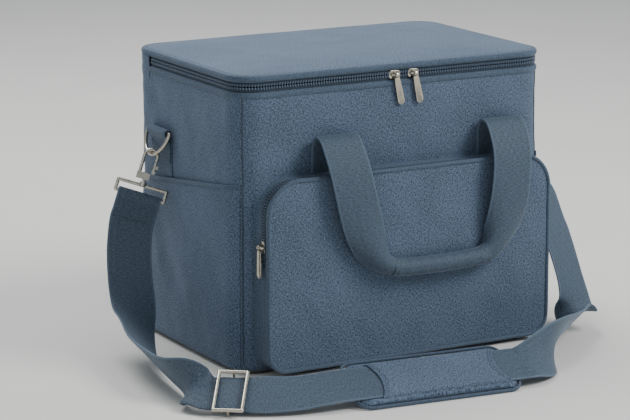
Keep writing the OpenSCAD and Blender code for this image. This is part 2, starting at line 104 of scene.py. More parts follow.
SKIRT_MIDDLE = LID_LOW.z + 1.6

POCKET_X = (PANEL_LOW.x + PANEL_HIGH.x) / 2
POCKET_HALF_W = (PANEL_HIGH.x - PANEL_LOW.x) / 2
POCKET_Z = (PANEL_LOW.z + PANEL_HIGH.z) / 2
POCKET_HALF_H = (PANEL_HIGH.z - PANEL_LOW.z) / 2
POCKET_DEPTH = -PANEL_LOW.y - HALF_D
POCKET_TOP_R = 38
POCKET_LOW_R = 22
POCKET_COIL = POCKET_DEPTH - 14
FLAP_Z = cad_mm("pocket_panel_lower")[1].z + 0.5

WEB_W = 50
WEB_T = 2.4
CREST_Z = 257
ARC_STEPS = 12


# ---- settings ----


class CoolerClothSettings(bpy.types.PropertyGroup):
    """How slack the sewn cloth is, and how fine the sewing is."""

    wall_slack: bpy.props.FloatProperty(
        name="Wall slack", description="How far the walls swell between their seams",
        default=0.0022, min=0.0, max=0.004, unit="LENGTH")
    crease_depth: bpy.props.FloatProperty(
        name="Crease depth", description="Height of the soft creases in the cover",
        default=0.0012, min=0.0, max=0.003, unit="LENGTH")
    panel_puff: bpy.props.FloatProperty(
        name="Pocket puff", description="How far the front pocket's panel swells",
        default=0.0045, min=0.0, max=0.008, unit="LENGTH")
    lid_dome: bpy.props.FloatProperty(
        name="Lid dome", description="Rise of the lid's middle over its edge",
        default=0.0065, min=0.0, max=0.009, unit="LENGTH")
    stitch_pitch: bpy.props.FloatProperty(
        name="Stitch pitch", description="Distance from one stitch to the next",
        default=0.0034, min=0.002, max=0.006, unit="LENGTH")
    tooth_pitch: bpy.props.FloatProperty(
        name="Tooth pitch", description="Distance from one zip tooth to the next",
        default=0.0032, min=0.002, max=0.005, unit="LENGTH")
    pad_pressure: bpy.props.FloatProperty(
        name="Pad pressure", description="Cloth pressure that fills the shoulder pad",
        default=4.0, min=0.5, max=10.0)


class CoolerStudioSettings(bpy.types.PropertyGroup):
    """The lights, the floor and the camera."""

    camera_azimuth: bpy.props.FloatProperty(
        name="Camera azimuth", description="Turn of the camera from straight ahead",
        default=math.radians(-29.41), subtype="ANGLE")
    camera_elevation: bpy.props.FloatProperty(
        name="Camera elevation", description="Height of the camera over the horizon",
        default=math.radians(12.69), subtype="ANGLE")
    camera_distance: bpy.props.FloatProperty(
        name="Camera distance", description="Distance from the camera to its target",
        default=2.974, min=0.5, max=10.0, unit="LENGTH")
    key_power: bpy.props.FloatProperty(
        name="Key light", description="Power of the large soft light",
        default=66.0, min=0.0, max=500.0, unit="POWER")
    top_power: bpy.props.FloatProperty(
        name="Top light", description="Power of the soft light over the bag",
        default=52.0, min=0.0, max=500.0, unit="POWER")
    sky_strength: bpy.props.FloatProperty(
        name="Sky strength", description="Strength of the plain surrounding light",
        default=0.6, min=0.0, max=3.0)


# ---- shapes ----


def at(x, y, z):
    """A point from millimetres to metres."""
    return Vector((x, y, z)) * MM


def even(points, count, dims=2):
    """Rows of a table respaced evenly along its first columns, with each row's distance."""
    table = np.array(points, float)
    steps = np.linalg.norm(np.diff(table[:, :dims], axis=0), axis=1)
    run = np.concatenate(([0.0], np.cumsum(steps)))
    marks = np.linspace(0.0, run[-1], count + 1)
    return np.stack([np.interp(marks, run, column) for column in table.T], 1), marks


def outline(half_w, half_h, radii, count):
    """Even points and outward directions round a rounded rectangle.

    It starts in the middle of the top edge and runs leftwards. radii are those of the
    upper left, lower left, lower right and upper right corners.
    """
    raw = [(0.0, half_h, 0.0, 1.0)]
    corners = ((-1, 1, 90), (-1, -1, 180), (1, -1, 270), (1, 1, 0))
    for (side, end, start), r in zip(corners, radii):
        for k in range(ARC_STEPS + 1):
            turn = math.radians(start + 90 * k / ARC_STEPS)
            c, s = math.cos(turn), math.sin(turn)
            raw.append((side * (half_w - r) + r * c, end * (half_h - r) + r * s, c, s))
    raw.append(raw[0])
    return even(raw, count)


def bag_outline(count, inset=0.0):
    """The bag seen from above, with +Y at the top."""
    return outline(HALF_W - inset, HALF_D - inset, [CORNER_R - inset] * 4, count)


def front_part(points, marks, rear_y):
    """The stretch of the bag's outline in front of rear_y."""
    keep = points[:, 1] <= rear_y
    return points[keep], marks[keep]


def rear_part(points, marks, front_y):
    """The stretch of the bag's outline behind front_y, as one run from left to right."""
    keep = points[:, 1] >= front_y
    half = len(points) // 2
    left = keep & (np.arange(len(points)) < half)
    right = keep & (np.arange(len(points)) >= half)
    run = np.concatenate((marks[right] - marks[-1], marks[left][1:]))
    return np.concatenate((points[right], points[left][1:])), run


def pocket_outline(count):
    """The front pocket seen from the front."""
    radii = [POCKET_TOP_R, POCKET_LOW_R, POCKET_LOW_R, POCKET_TOP_R]
    points, marks = outline(POCKET_HALF_W, POCKET_HALF_H, radii, count)
    points[:, 0] += POCKET_X
    points[:, 1] += POCKET_Z
    return points, marks


def round_bag(spot, out, height):
    """Out from the bag's outline, at a height."""
    return at(spot[0] + spot[2] * out, spot[1] + spot[3] * out, height)


def round_pocket(spot, out, depth):
    """Out from the pocket's outline, at a distance in front of the front wall."""
    return at(spot[0] + spot[2] * out, -HALF_D - depth, spot[1] + spot[3] * out)


def grid_piece(columns, rows, place, weld=True):
    """A grid whose point at each share of its columns and rows is put by place()."""
    bm = bmesh.new()
    bmesh.ops.create_grid(bm, x_segments=columns, y_segments=rows, size=0.5)
    layer = bm.loops.layers.uv.new("metres")
    spots = {}
    for vert in bm.verts:
        column = round((vert.co.x + 0.5) * columns)
        row = round((vert.co.y + 0.5) * rows)
        spots[vert] = place(column, row)
    for face in bm.faces:
        for loop in face.loops:
            loop[layer].uv = spots[loop.vert][1]
    for vert, spot in spots.items():
        vert.co = spot[0]
    if weld:
        bmesh.ops.remove_doubles(bm, verts=bm.verts, dist=2e-6)
    return bm


def ring_piece(path, section, spot, ripple=None):
    """A section of (out, height) points carried round an outline.

    ripple(point, out, height) gives each point's own shift outwards, in millimetres.
    """
    points, marks = path
    across = np.concatenate(
        ([0.0], np.cumsum(np.linalg.norm(np.diff(np.array(section, float), axis=0), axis=1))))

    def place(column, row):
        out, height = section[column]
        if ripple:
            out += ripple(points[row], out, height)
        return spot(points[row], out, height), (across[column] * MM, marks[row] * MM)

    return grid_piece(len(section) - 1, len(points) - 1, place)


def cap_ends(bm):
    """Closes the open ends of a tube or a band."""
    bmesh.ops.holes_fill(bm, edges=[edge for edge in bm.edges if edge.is_boundary], sides=0)
    return bm


def oval(out, height, half_out, half_height, steps=16):
    """A closed oval section around (out, height)."""
    turns = [2 * math.pi * k / steps for k in range(steps + 1)]
    return [(out + half_out * math.cos(t), height + half_height * math.sin(t)) for t in turns]


def smoothed(stations, steps):
    """A smooth curve through the stations, all of their values at once."""
    last = len(stations) - 1
    curve = []
    for i in range(last):
        near = [stations[min(max(k, 0), last)] for k in (i - 1, i, i + 1, i + 2)]
        for k in range(steps):
            t = k / steps
            curve.append([
                0.5 * (2 * q + (r - p) * t + (2 * p - 5 * q + 4 * r - s) * t * t
                       + (3 * q - p - 3 * r + s) * t ** 3)
                for p, q, r, s in zip(*near)])
    curve.append(list(stations[last]))
    return curve


def path_frames(curve):
    """Place, direction, across, outward and distance for each row of a curve."""
    places = [Vector(row[:3]) for row in curve]
    frames, run = [], 0.0
    for i, place in enumerate(places):
        ahead = places[min(i + 1, len(places) - 1)]
        behind = places[max(i - 1, 0)]
        along = (ahead - behind).normalized()
        across = Vector(curve[i][3:6])
        across = (across - across.dot(along) * along).normalized()
        if i:
            run += (place - places[i - 1]).length
        frames.append((place, along, across, along.cross(across), run))
    return frames


def web_section(width, thick, curl, columns=12):
    """A closed outline of flat webbing; curl 1 rolls it backwards into a full tube."""
    half = width / 2
    edge = thick / 2
    flat = [-half + edge + (width - thick) * k / columns for k in range(columns + 1)]
    turns = [math.radians(a) for a in (60, 20, -20, -60)]
    loop = [(x, edge) for x in flat]
    loop += [(half - edge + edge * math.cos(a), edge * math.sin(a)) for a in turns]
    loop += [(x, -edge) for x in reversed(flat)]
    loop += [(-half + edge - edge * math.cos(a), edge * math.sin(a)) for a in reversed(turns)]
    loop.append(loop[0])
    if abs(curl) < 1e-4:
        return [(x, y, x) for x, y in loop]
    radius = width / (2 * math.pi * curl)
    return [((radius + y) * math.sin(x / radius), (radius + y) * math.cos(x / radius) - radius, x)
            for x, y in loop]


def web_piece(frames, sections):
    """Webbing swept through its frames, one section for each frame."""
    start = frames[0][4]

    def place(column, row):
        centre, _along, across, out, run = frames[row]
        x, y, width_at = sections[row][column]
        return (centre + across * x + out * y) * MM, (width_at * MM, (run - start) * MM)

    return cap_ends(grid_piece(len(sections[0]) - 1, len(frames) - 1, place))


def blocks(line, pitch, size, slant=0.0, lift=0.0, bevel=0.2):
    """Small rounded blocks along a line of (place, outward direction) rows."""
    table = np.array(line, float)
    length = float(np.sum(np.linalg.norm(np.diff(table[:, :3], axis=0), axis=1)))
    count = max(1, int(length / (pitch / MM)))
    rows, _marks = even(line, 2 * count, dims=3)
    bm = bmesh.new()
    bm.loops.layers.uv.new("metres")
    scale = Matrix.Diagonal((size[0] * MM, size[1] * MM, size[2] * MM, 1))
    for k in range(1, 2 * count, 2):
        along = Vector(rows[k + 1][:3] - rows[k - 1][:3]).normalized()
        out = Vector(rows[k][3:6])
        out = (out - out.dot(along) * along).normalized()
        turn = Matrix((along, out.cross(along), out)).transposed().to_4x4()
        place = Matrix.Translation(Vector(rows[k][:3]) * MM + out * lift * MM)
        matrix = place @ turn @ Matrix.Rotation(slant, 4, "Z") @ scale
        bmesh.ops.create_cube(bm, size=1.0, matrix=matrix)
    bmesh.ops.bevel(bm, geom=bm.edges[:], offset=bevel * MM, segments=1, profile=0.5,
                    affect="EDGES", material=-1)
    return bm


def piece(bm, name, material, thickness=0.0, facing=None, sharp=38.0, roll=0.0):
    """Turns a bmesh into a finished object of the scene.

    facing is a direction that an open sheet's outside looks to. roll rounds the edges
    of a solid.
    """
    if roll:
        hard = [e for e in bm.edges if len(e.link_faces) == 2 and e.calc_face_angle() > 0.6]
        bmesh.ops.bevel(bm, geom=hard, offset=roll * MM, segments=2, profile=0.5,
                        affect="EDGES", material=-1)
    bmesh.ops.recalc_face_normals(bm, faces=bm.faces)
    if facing:
        look = Vector(facing)
        if sum(face.normal.dot(look) * face.calc_area() for face in bm.faces) < 0:
            bmesh.ops.reverse_faces(bm, faces=bm.faces)
    mesh = bpy.data.meshes.new(name)
    bm.to_mesh(mesh)
    bm.free()
    obj = bpy.data.objects.new(name, mesh)
    bpy.context.scene.collection.objects.link(obj)
    if thickness:
        solid = obj.modifiers.new("thickness", "SOLIDIFY")
        solid.thickness = thickness * MM
        solid.offset = -1.0
        keep_shape(obj)
    mesh = obj.data
    mesh.shade_smooth()
    mesh.set_sharp_from_angle(angle=math.radians(sharp))
    mesh.materials.append(material)
    return obj


def keep_shape(obj):
    """Writes the shape that the modifiers give into the mesh, and removes them."""
    bpy.context.view_layer.update()
    shaped = bpy.data.meshes.new_from_object(
        obj.evaluated_get(bpy.context.evaluated_depsgraph_get()))
    old = obj.data
    obj.modifiers.clear()
    obj.data = shaped
    shaped.name = obj.name
    bpy.data.meshes.remove(old)


def ripple_at(x, y, z, scale, seed=0.0):
    """A smooth value from -1 to 1 that varies over the surface."""
    return noise.noise(Vector((x / scale + seed, y / scale, z / scale)))


def mirrored(stations, axis):
    """The same stations on the other side of the bag, still facing outwards."""
    other = []
    for row in stations:
        row = list(row)
        row[axis] = -row[axis]
        for k in range(3):
            row[3 + k] = row[3 + k] if k == axis else -row[3 + k]
        other.append(row)
    return other


# ---- materials ----


def linear(hex_colour):
    """The shader's linear colour for an sRGB hex colour."""
    values = [int(hex_colour[k:k + 2], 16) / 255 for k in (1, 3, 5)]
    return [v / 12.92 if v <= 0.04045 else ((v + 0.055) / 1.055) ** 2.4 for v in values] + [1.0]


def add(tree, kind, inputs=None, **settings):
    """Adds a node with its settings, and links or sets its inputs."""
    made = tree.nodes.new(kind)
    for key, value in settings.items():
        setattr(made, key, value)
    for key, value in (inputs or {}).items():
        if isinstance(value, bpy.types.NodeSocket):
            tree.links.new(value, made.inputs[key])
        else:
            made.inputs[key].default_value = value
    return made


def new_material(name, settings):
    """A material with one Principled shader, whose plain inputs are set here."""
    material = bpy.data.materials.new(name)
    material.use_nodes = True
    tree = material.node_tree
    tree.nodes.clear()
    shader = add(tree, "ShaderNodeBsdfPrincipled", settings)
    add(tree, "ShaderNodeOutputMaterial", {"Surface": shader.outputs["BSDF"]})
    return material, tree, shader


def melange_polyester(name, dark, light, yarn=0.95, depth=0.0004):
    """Plain-weave polyester spun from two shades: a fine heathered grain to the eye."""
    material, tree, shader = new_material(name, {
        "Roughness": 0.82, "Specular IOR Level": 0.28,
        "Sheen Weight": 0.30, "Sheen Roughness": 0.45, "Sheen Tint": linear("#c9d8e8")})
    metres = add(tree, "ShaderNodeUVMap", uv_map="metres")
    # Real yarns are 0.3 mm apart. They are drawn about three times coarser, as flecks.
    threads = 1000 / yarn
    warp = add(tree, "ShaderNodeMapping", {
        "Vector": metres.outputs["UV"], "Scale": (threads, threads / 2.5, 1)})
    weft = add(tree, "ShaderNodeMapping", {
        "Vector": metres.outputs["UV"], "Scale": (threads / 2.5, threads, 1)})
    warp_fleck = add(tree, "ShaderNodeTexNoise", {
        "Vector": warp.outputs["Vector"], "Scale": 1.0, "Detail": 1.0}, noise_dimensions="2D")
    weft_fleck = add(tree, "ShaderNodeTexNoise", {
        "Vector": weft.outputs["Vector"], "Scale": 1.0, "Detail": 1.0}, noise_dimensions="2D")
    fleck = add(tree, "ShaderNodeMath", {
        0: warp_fleck.outputs["Fac"], 1: weft_fleck.outputs["Fac"]}, operation="ADD")
    shade = add(tree, "ShaderNodeMapRange", {
        "Value": fleck.outputs["Value"], "From Min": 0.70, "From Max": 1.30})
    # Slow unevenness of the dye and of the pile, a hand's width across.
    cloud = add(tree, "ShaderNodeTexNoise", {
        "Vector": metres.outputs["UV"], "Scale": 14.0, "Detail": 2.0}, noise_dimensions="2D")
    drift = add(tree, "ShaderNodeMapRange", {
        "Value": cloud.outputs["Fac"], "To Min": -0.16, "To Max": 0.16})
    mixed = add(tree, "ShaderNodeMath", {
        0: shade.outputs["Result"], 1: drift.outputs["Result"]}, operation="ADD", use_clamp=True)
    ramp = add(tree, "ShaderNodeValToRGB", {"Fac": mixed.outputs["Value"]})
    ramp.color_ramp.elements[0].color = linear(dark)
    ramp.color_ramp.elements[1].color = linear(light)
    tree.links.new(ramp.outputs["Color"], shader.inputs["Base Color"])
    bump = add(tree, "ShaderNodeBump", {
        "Height": fleck.outputs["Value"], "Strength": 0.55, "Distance": depth})
    tree.links.new(bump.outputs["Normal"], shader.inputs["Normal"])
    return material


def ribbed_webbing(name, dark, light, edge):
    """Woven polyester webbing: fine lengthwise ribs, and paler edges that are a painted highlight
    on the rounded selvedges.
    """
    material, tree, shader = new_material(name, {
        "Roughness": 0.68, "Specular IOR Level": 0.35,
        "Sheen Weight": 0.30, "Sheen Roughness": 0.4, "Sheen Tint": linear("#c9d8e8")})
    metres = add(tree, "ShaderNodeUVMap", uv_map="metres")
    parts = add(tree, "ShaderNodeSeparateXYZ", {"Vector": metres.outputs["UV"]})
    # Ribs 2.2 mm apart; real ones are nearer 1.5 mm.
    turns = add(tree, "ShaderNodeMath", {
        0: parts.outputs["X"], 1: 2 * math.pi / 0.0022}, operation="MULTIPLY")
    rib = add(tree, "ShaderNodeMath", {0: turns.outputs["Value"]}, operation="SINE")
    picks = add(tree, "ShaderNodeMapping", {
        "Vector": metres.outputs["UV"], "Scale": (260, 1100, 1)})
    pick = add(tree, "ShaderNodeTexNoise", {
        "Vector": picks.outputs["Vector"], "Scale": 1.0, "Detail": 1.0}, noise_dimensions="2D")
    rib_part = add(tree, "ShaderNodeMath", {0: rib.outputs["Value"], 1: 0.07}, operation="MULTIPLY")
    grain = add(tree, "ShaderNodeMath", {
        0: pick.outputs["Fac"], 1: rib_part.outputs["Value"]}, operation="ADD")
    shade = add(tree, "ShaderNodeMapRange", {
        "Value": grain.outputs["Value"], "From Min": 0.22, "From Max": 0.78})
    ramp = add(tree, "ShaderNodeValToRGB", {"Fac": shade.outputs["Result"]})
    ramp.color_ramp.elements[0].color = linear(dark)
    ramp.color_ramp.elements[1].color = linear(light)
    # Painted highlight: the colour turns paler towards both edges, where the rounded selvedges
    # catch the light.
    off_middle = add(tree, "ShaderNodeMath", {0: parts.outputs["X"]}, operation="ABSOLUTE")
    edge_band = add(tree, "ShaderNodeMapRange", {
        "Value": off_middle.outputs["Value"], "From Min": 0.0222, "From Max": 0.0240,
        "To Max": 0.5})
    colour = add(tree, "ShaderNodeMixRGB", {
        "Fac": edge_band.outputs["Result"], "Color1": ramp.outputs["Color"], "Color2": linear(edge)})
    tree.links.new(colour.outputs["Color"], shader.inputs["Base Color"])
    bump = add(tree, "ShaderNodeBump", {
        "Height": grain.outputs["Value"], "Strength": 0.6, "Distance": 0.0004})
    tree.links.new(bump.outputs["Normal"], shader.inputs["Normal"])
    return material


def moulded_nylon(name, colour, grain):
    """Drawn nylon of zip coils and sewing thread: dark and smooth, with small painted highlights as
    paler specks.
    """
    material, tree, shader = new_material(name, {
        "Roughness": 0.42, "Specular IOR Level": 0.5})
    place = add(tree, "ShaderNodeTexCoord")
    speck = add(tree, "ShaderNodeTexNoise", {
        "Vector": place.outputs["Object"], "Scale": 900.0, "Detail": 1.0})
    # The paler colour, passed in as grain, is painted glints: random specks that stand in for
    # highlights.
    ramp = add(tree, "ShaderNodeValToRGB", {"Fac": speck.outputs["Fac"]})
    ramp.color_ramp.elements[0].color = linear(colour)
    ramp.color_ramp.elements[1].color = linear(grain)
    tree.links.new(ramp.outputs["Color"], shader.inputs["Base Color"])
    return material


def satin_nickel(name):
    """Nickel-plated zinc, tumbled to a satin: soft streaked reflections, small pits."""
    material, tree, shader = new_material(name, {"Metallic": 1.0})
    place = add(tree, "ShaderNodeTexCoord")
    wear = add(tree, "ShaderNodeTexNoise", {
        "Vector": place.outputs["Object"], "Scale": 160.0, "Detail": 3.0})
    rough = add(tree, "ShaderNodeMapRange", {
        "Value": wear.outputs["Fac"], "To Min": 0.16, "To Max": 0.36})
    ramp = add(tree, "ShaderNodeValToRGB", {"Fac": wear.outputs["Fac"]})
    ramp.color_ramp.elements[0].color = linear("#a39d90")
    ramp.color_ramp.elements[1].color = linear("#cfc9bb")
    tree.links.new(ramp.outputs["Color"], shader.inputs["Base Color"])
    tree.links.new(rough.outputs["Result"], shader.inputs["Roughness"])
    pits = add(tree, "ShaderNodeTexNoise", {
        "Vector": place.outputs["Object"], "Scale": 700.0, "Detail": 2.0})
    bump = add(tree, "ShaderNodeBump", {
        "Height": pits.outputs["Fac"], "Strength": 0.08, "Distance": 0.0001})
    tree.links.new(bump.outputs["Normal"], shader.inputs["Normal"])
    return material


def foil_laminate(name):
    """Aluminised film over foam: silver, with fine creases that break up the light."""
    material, tree, shader = new_material(name, {"Metallic": 0.85, "Roughness": 0.32})
    metres = add(tree, "ShaderNodeUVMap", uv_map="metres")
    crease = add(tree, "ShaderNodeTexVoronoi", {
        "Vector": metres.outputs["UV"], "Scale": 55.0}, feature="DISTANCE_TO_EDGE")
    tone = add(tree, "ShaderNodeTexNoise", {
        "Vector": metres.outputs["UV"], "Scale": 40.0, "Detail": 3.0})
    ramp = add(tree, "ShaderNodeValToRGB", {"Fac": tone.outputs["Fac"]})
    ramp.color_ramp.elements[0].color = linear("#a9adb1")
    ramp.color_ramp.elements[1].color = linear("#dfe2e4")
    tree.links.new(ramp.outputs["Color"], shader.inputs["Base Color"])
    bump = add(tree, "ShaderNodeBump", {
        "Height": crease.outputs["Distance"], "Strength": 0.5, "Distance": 0.004})
    tree.links.new(bump.outputs["Normal"], shader.inputs["Normal"])
    return material


def pressed_board(name, dark, light, scale, rough):
    """Closed-cell foam or pressed board: dull, with small cells or fibres."""
    material, tree, shader = new_material(name, {"Roughness": rough})
    place = add(tree, "ShaderNodeTexCoord")
    cells = add(tree, "ShaderNodeTexVoronoi", {
        "Vector": place.outputs["Object"], "Scale": scale})
    ramp = add(tree, "ShaderNodeValToRGB", {"Fac": cells.outputs["Distance"]})
    ramp.color_ramp.elements[0].color = linear(dark)
    ramp.color_ramp.elements[1].color = linear(light)
    tree.links.new(ramp.outputs["Color"], shader.inputs["Base Color"])
    bump = add(tree, "ShaderNodeBump", {
        "Height": cells.outputs["Distance"], "Strength": 0.4, "Distance": 0.0005})
    tree.links.new(bump.outputs["Normal"], shader.inputs["Normal"])
    return material


def matte_plaster(name):
    """The studio floor: pale, dull and almost even."""
    material, tree, shader = new_material(name, {"Roughness": 0.9, "Specular IOR Level": 0.2})
    place = add(tree, "ShaderNodeTexCoord")
    tone = add(tree, "ShaderNodeTexNoise", {
        "Vector": place.outputs["Object"], "Scale": 3.0, "Detail": 2.0})
    ramp = add(tree, "ShaderNodeValToRGB", {"Fac": tone.outputs["Fac"]})
    ramp.color_ramp.elements[0].color = linear("#d6d4cf")
    ramp.color_ramp.elements[1].color = linear("#dedcd7")
    tree.links.new(ramp.outputs["Color"], shader.inputs["Base Color"])
    return material


COVER = melange_polyester("cover_melange_polyester", "#2c3846", "#63748a")
TRIM = melange_polyester("trim_bound_polyester", "#2f3b48", "#56677a", yarn=0.8)
TAPE = melange_polyester("zip_tape_woven_nylon", "#212a33", "#364350", yarn=0.8)
# WEBBING's third colour is the painted highlight along the webbing's edges.
WEBBING = ribbed_webbing("webbing_woven_polyester", "#2f3b46", "#4c5c6c", "#5f7083")
# The second colour of COIL and THREAD is their painted glints.
COIL = moulded_nylon("zip_coil_nylon", "#35414d", "#61738a")
THREAD = moulded_nylon("thread_bonded_nylon", "#2b3743", "#465667")
NICKEL = satin_nickel("nickel_plated_zinc_satin")
FOIL = foil_laminate("foil_laminate_crinkled")
FOAM = pressed_board("foam_closed_cell", "#cfcbc0", "#ece9e0", 600.0, 0.85)
BOARD = pressed_board("board_pressed_fibre", "#3a3630", "#5a554c", 350.0, 0.9)
PLASTER = matte_plaster("floor_matte_plaster")


# ---- pieces ----


def settings():
    return bpy.context.scene.cooler_cloth


def ride_bag(obj):
    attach(obj, "bag")


def ride_lid(obj):
    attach(obj, "lid")


def bend_at_lid(obj):
    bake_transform(obj)


def bend_at_flap(obj):
    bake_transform(obj)


def wall_shift(spot, z):
    """How far the walls swell and crease at a place, in millimetres."""
    sewn = settings()
    x, y, out_x, out_y = spot
    along, half = (x, HALF_W) if abs(out_y) > abs(out_x) else (y, HALF_D)
    middle = max(0.0, math.cos(math.pi / 2 * min(1.0, abs(along) / half)))
    swell = sewn.wall_slack / MM * middle * math.sin(math.pi * min(1.0, max(0.0, z / WALL_H)))
    crease = ripple_at(x, y, z * 0.45, 46, 3.1) + 0.45 * ripple_at(x, y, z, 17, 8.7)
    slope = ripple_at(x + z * 0.6, y - z * 0.5, z * 0.3, 30, 1.9)
    held = min(1.0, max(0.0, (WALL_H - z) / 22)) * min(1.0, max(0.0, z / 25))
    return swell + sewn.crease_depth / MM * held * (crease + 0.8 * slope)


def build_cover():
    """The woven cover of the body, with a seam up each corner."""
    count, rows = 400, 96
    points, marks = bag_outline(count)
    bend = 10

    def place(column, row):
        if row <= bend:
            turn = math.pi / 2 * row / bend
            inset, z = BASE_R * (1 - math.sin(turn)), BASE_R * (1 - math.cos(turn))
        else:
            inset, z = 0.0, BASE_R + (WALL_H - BASE_R) * (row - bend) / (rows - bend)
        spot = points[column]
        out = wall_shift(spot, z) - inset
        return round_bag(spot, out, z), (marks[column] * MM, z * MM)

    bm = grid_piece(count, rows, place)
    base = [e for e in bm.edges if e.is_boundary and e.verts[0].co.z < BASE_R * MM / 2]
    bmesh.ops.holes_fill(bm, edges=base, sides=0)
    cover = piece(bm, "bag_cover", COVER, thickness=1.6)
    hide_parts("outer_shell")
    ride_bag(cover)

    for k, (side, end) in enumerate(((-1, -1), (1, -1), (-1, 1), (1, 1))):
        line = []
        for z in np.linspace(12, WALL_H - 1, 80):
            spot = (side * (HALF_W - CORNER_R * (1 - math.sqrt(0.5))),
                    end * (HALF_D - CORNER_R * (1 - math.sqrt(0.5))),
                    side * math.sqrt(0.5), end * math.sqrt(0.5))
            out = wall_shift(spot, z) + 0.15
            line.append((spot[0] + spot[2] * out, spot[1] + spot[3] * out, z,
                         spot[2], spot[3], 0))
        stations = [(x, y, z, oy, -ox, 0) for x, y, z, ox, oy, _oz in line]
        frames = path_frames(stations)
        seam = web_piece(frames, [web_section(1.5, 0.7, 0, 2)] * len(frames))
        # A real seam, drawn as a thin ridge in the dark zip tape material; its darkness is painted
        # shade of the seam's groove.
        seam = piece(seam, "corner_seam_%d" % k, TAPE)
        ride_bag(seam)
        thread = piece(blocks(line, settings().stitch_pitch, (2.2, 0.7, 0.5), lift=0.4),
                       "corner_stitches_%d" % k, THREAD)
        ride_bag(thread)


def build_rims():
    """The rolled edges above and below the main zip."""
    count = 420

    def waver(spot, _out, height):
        return 0.5 * ripple_at(spot[0], spot[1], height, 30, 5.5)

    rim = front_part(*bag_outline(count), ZIP_END_Y + 3)
    section = oval(-0.9, WALL_H + 1.2, 2.3, 3.8)
    bm = cap_ends(ring_piece(rim, section, round_bag, waver))
    low = piece(bm, "rim_roll", TRIM)
    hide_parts("rim_piping")
    ride_bag(low)

    edge = bag_outline(count)
    section = oval(-0.8, SKIRT_MIDDLE + 0.7, 2.3, 3.6)
    high = piece(ring_piece(edge, section, round_bag, waver), "lid_roll", TRIM)
    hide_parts("lid_piping")
    ride_lid(high)


def teeth(line_points, z, slant, name):
    line = [(x - ox * 0.9, y - oy * 0.9, z, ox, oy, 0) for x, y, ox, oy in line_points]
    bm = blocks(line, settings().tooth_pitch, (1.6, 3.0, 1.5), slant=slant, bevel=0.3)
    return piece(bm, name, COIL)


def build_main_zip():
    """Tapes and interlocking teeth of the zip round the lid."""
    points, marks = front_part(*bag_outline(840), ZIP_END_Y)
    lower = [(-1.9, WALL_H + 1), (-1.3, LOWER_ZIP_LOW.z - 2.2), (-1.5, LOWER_ZIP_HIGH.z - 0.2)]
    upper = [(-1.5, UPPER_ZIP_LOW.z + 0.2), (-1.3, UPPER_ZIP_HIGH.z + 2), (-1.9, LID_LOW.z + 1)]
    tape = piece(ring_piece((points, marks), lower, round_bag), "body_zip_tape_woven",
                 TAPE, thickness=0.8)
    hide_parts("body_zip_tape")
    ride_bag(tape)
    tape = piece(ring_piece((points, marks), upper, round_bag), "lid_zip_tape_woven",
                 TAPE, thickness=0.8)
    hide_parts("lid_zip_tape")
    ride_lid(tape)
    row = teeth(points, ZIP_Z - 1.75, math.radians(24), "body_zip_teeth")
    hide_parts("body_zip_coil")
    ride_bag(row)
    row = teeth(points, ZIP_Z + 1.75, math.radians(-24), "lid_zip_teeth")
    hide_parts("lid_zip_coil")
    ride_lid(row)

    # The cloth that joins lid and body round the rear, past both ends of the zip.
    run = rear_part(*bag_outline(300), ZIP_END_Y - 1)
    section = [(0.2, WALL_H - 9), (0.9, WALL_H - 4), (1.0, WALL_H + 2), (0.6, WALL_H + 6),
               (0.9, WALL_H + 10), (0.9, WALL_H + 15), (0.4, LID_LOW.z + 1)]
    fine = smoothed(section, 4)
    hinge = piece(ring_piece(run, fine, round_bag), "hinge_cloth", COVER, thickness=1.4)
    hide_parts("hinge_strip_lower", "hinge_strip_upper")
    bend_at_lid(hinge)


def half_width_at(y, half_w, half_h, top_r, low_r):
    """Half of a rounded rectangle's width at a height y from its middle."""
    r = top_r if y > 0 else low_r
    over = abs(y) - (half_h - r)
    return half_w if over <= 0 else half_w - r + math.sqrt(max(0.0, r * r - over * over))


def rounded_sheet(columns, rows, half_w, half_h, top_r, low_r, spot):
    """A grid over a rounded rectangle; spot(x, y) puts each point in its place."""

    def place(column, row):
        a = 2 * column / columns - 1
        b = 2 * row / rows - 1
        y = half_h * b * (1.5 - 0.5 * b * b)
        x = a * half_width_at(y, half_w, half_h, top_r, low_r)
        return spot(x, y), (x * MM, y * MM)

    return grid_piece(columns, rows, place)


def build_lid():
    """The lid's cloth: a low dome with its edge turned down to the roll."""
    dome = settings().lid_dome / MM

    def top(x, y):
        u, v = x / HALF_W, y / HALF_D
        rise = (1 - u ** 4) * (1 - v ** 4)
        crease = 0.7 * ripple_at(x, y, 0, 60, 2.2) + 0.35 * ripple_at(x, y, 0, 22, 6.1)
        return at(x, y, LID_HIGH.z - 1.5 + dome * rise ** 0.7 + crease * min(1, 3 * rise))

    bm = rounded_sheet(120, 90, HALF_W - 1.2, HALF_D - 1.2, CORNER_R, CORNER_R, top)
    rim = [e for e in bm.edges if e.is_boundary]
    made = bmesh.ops.extrude_edge_only(bm, edges=rim)
    for vert in (v for v in made["geom"] if isinstance(v, bmesh.types.BMVert)):
        vert.co.z = (SKIRT_MIDDLE + 1) * MM
        vert.co.x *= 1.003
        vert.co.y *= 1.005
    lid = piece(bm, "lid_cloth", COVER, thickness=1.4, facing=(0, 0, 1))
    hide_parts("lid_cover")
    ride_lid(lid)

    line = [(x - ox * 3.4, y - oy * 3.4, LID_HIGH.z - 0.9, ox * 0.1, oy * 0.1, 1)
            for x, y, ox, oy in bag_outline(300)[0]]
    thread = piece(blocks(line, settings().stitch_pitch, (2.2, 0.6, 0.4), lift=0.5),
                   "lid_stitches", THREAD)
    ride_lid(thread)


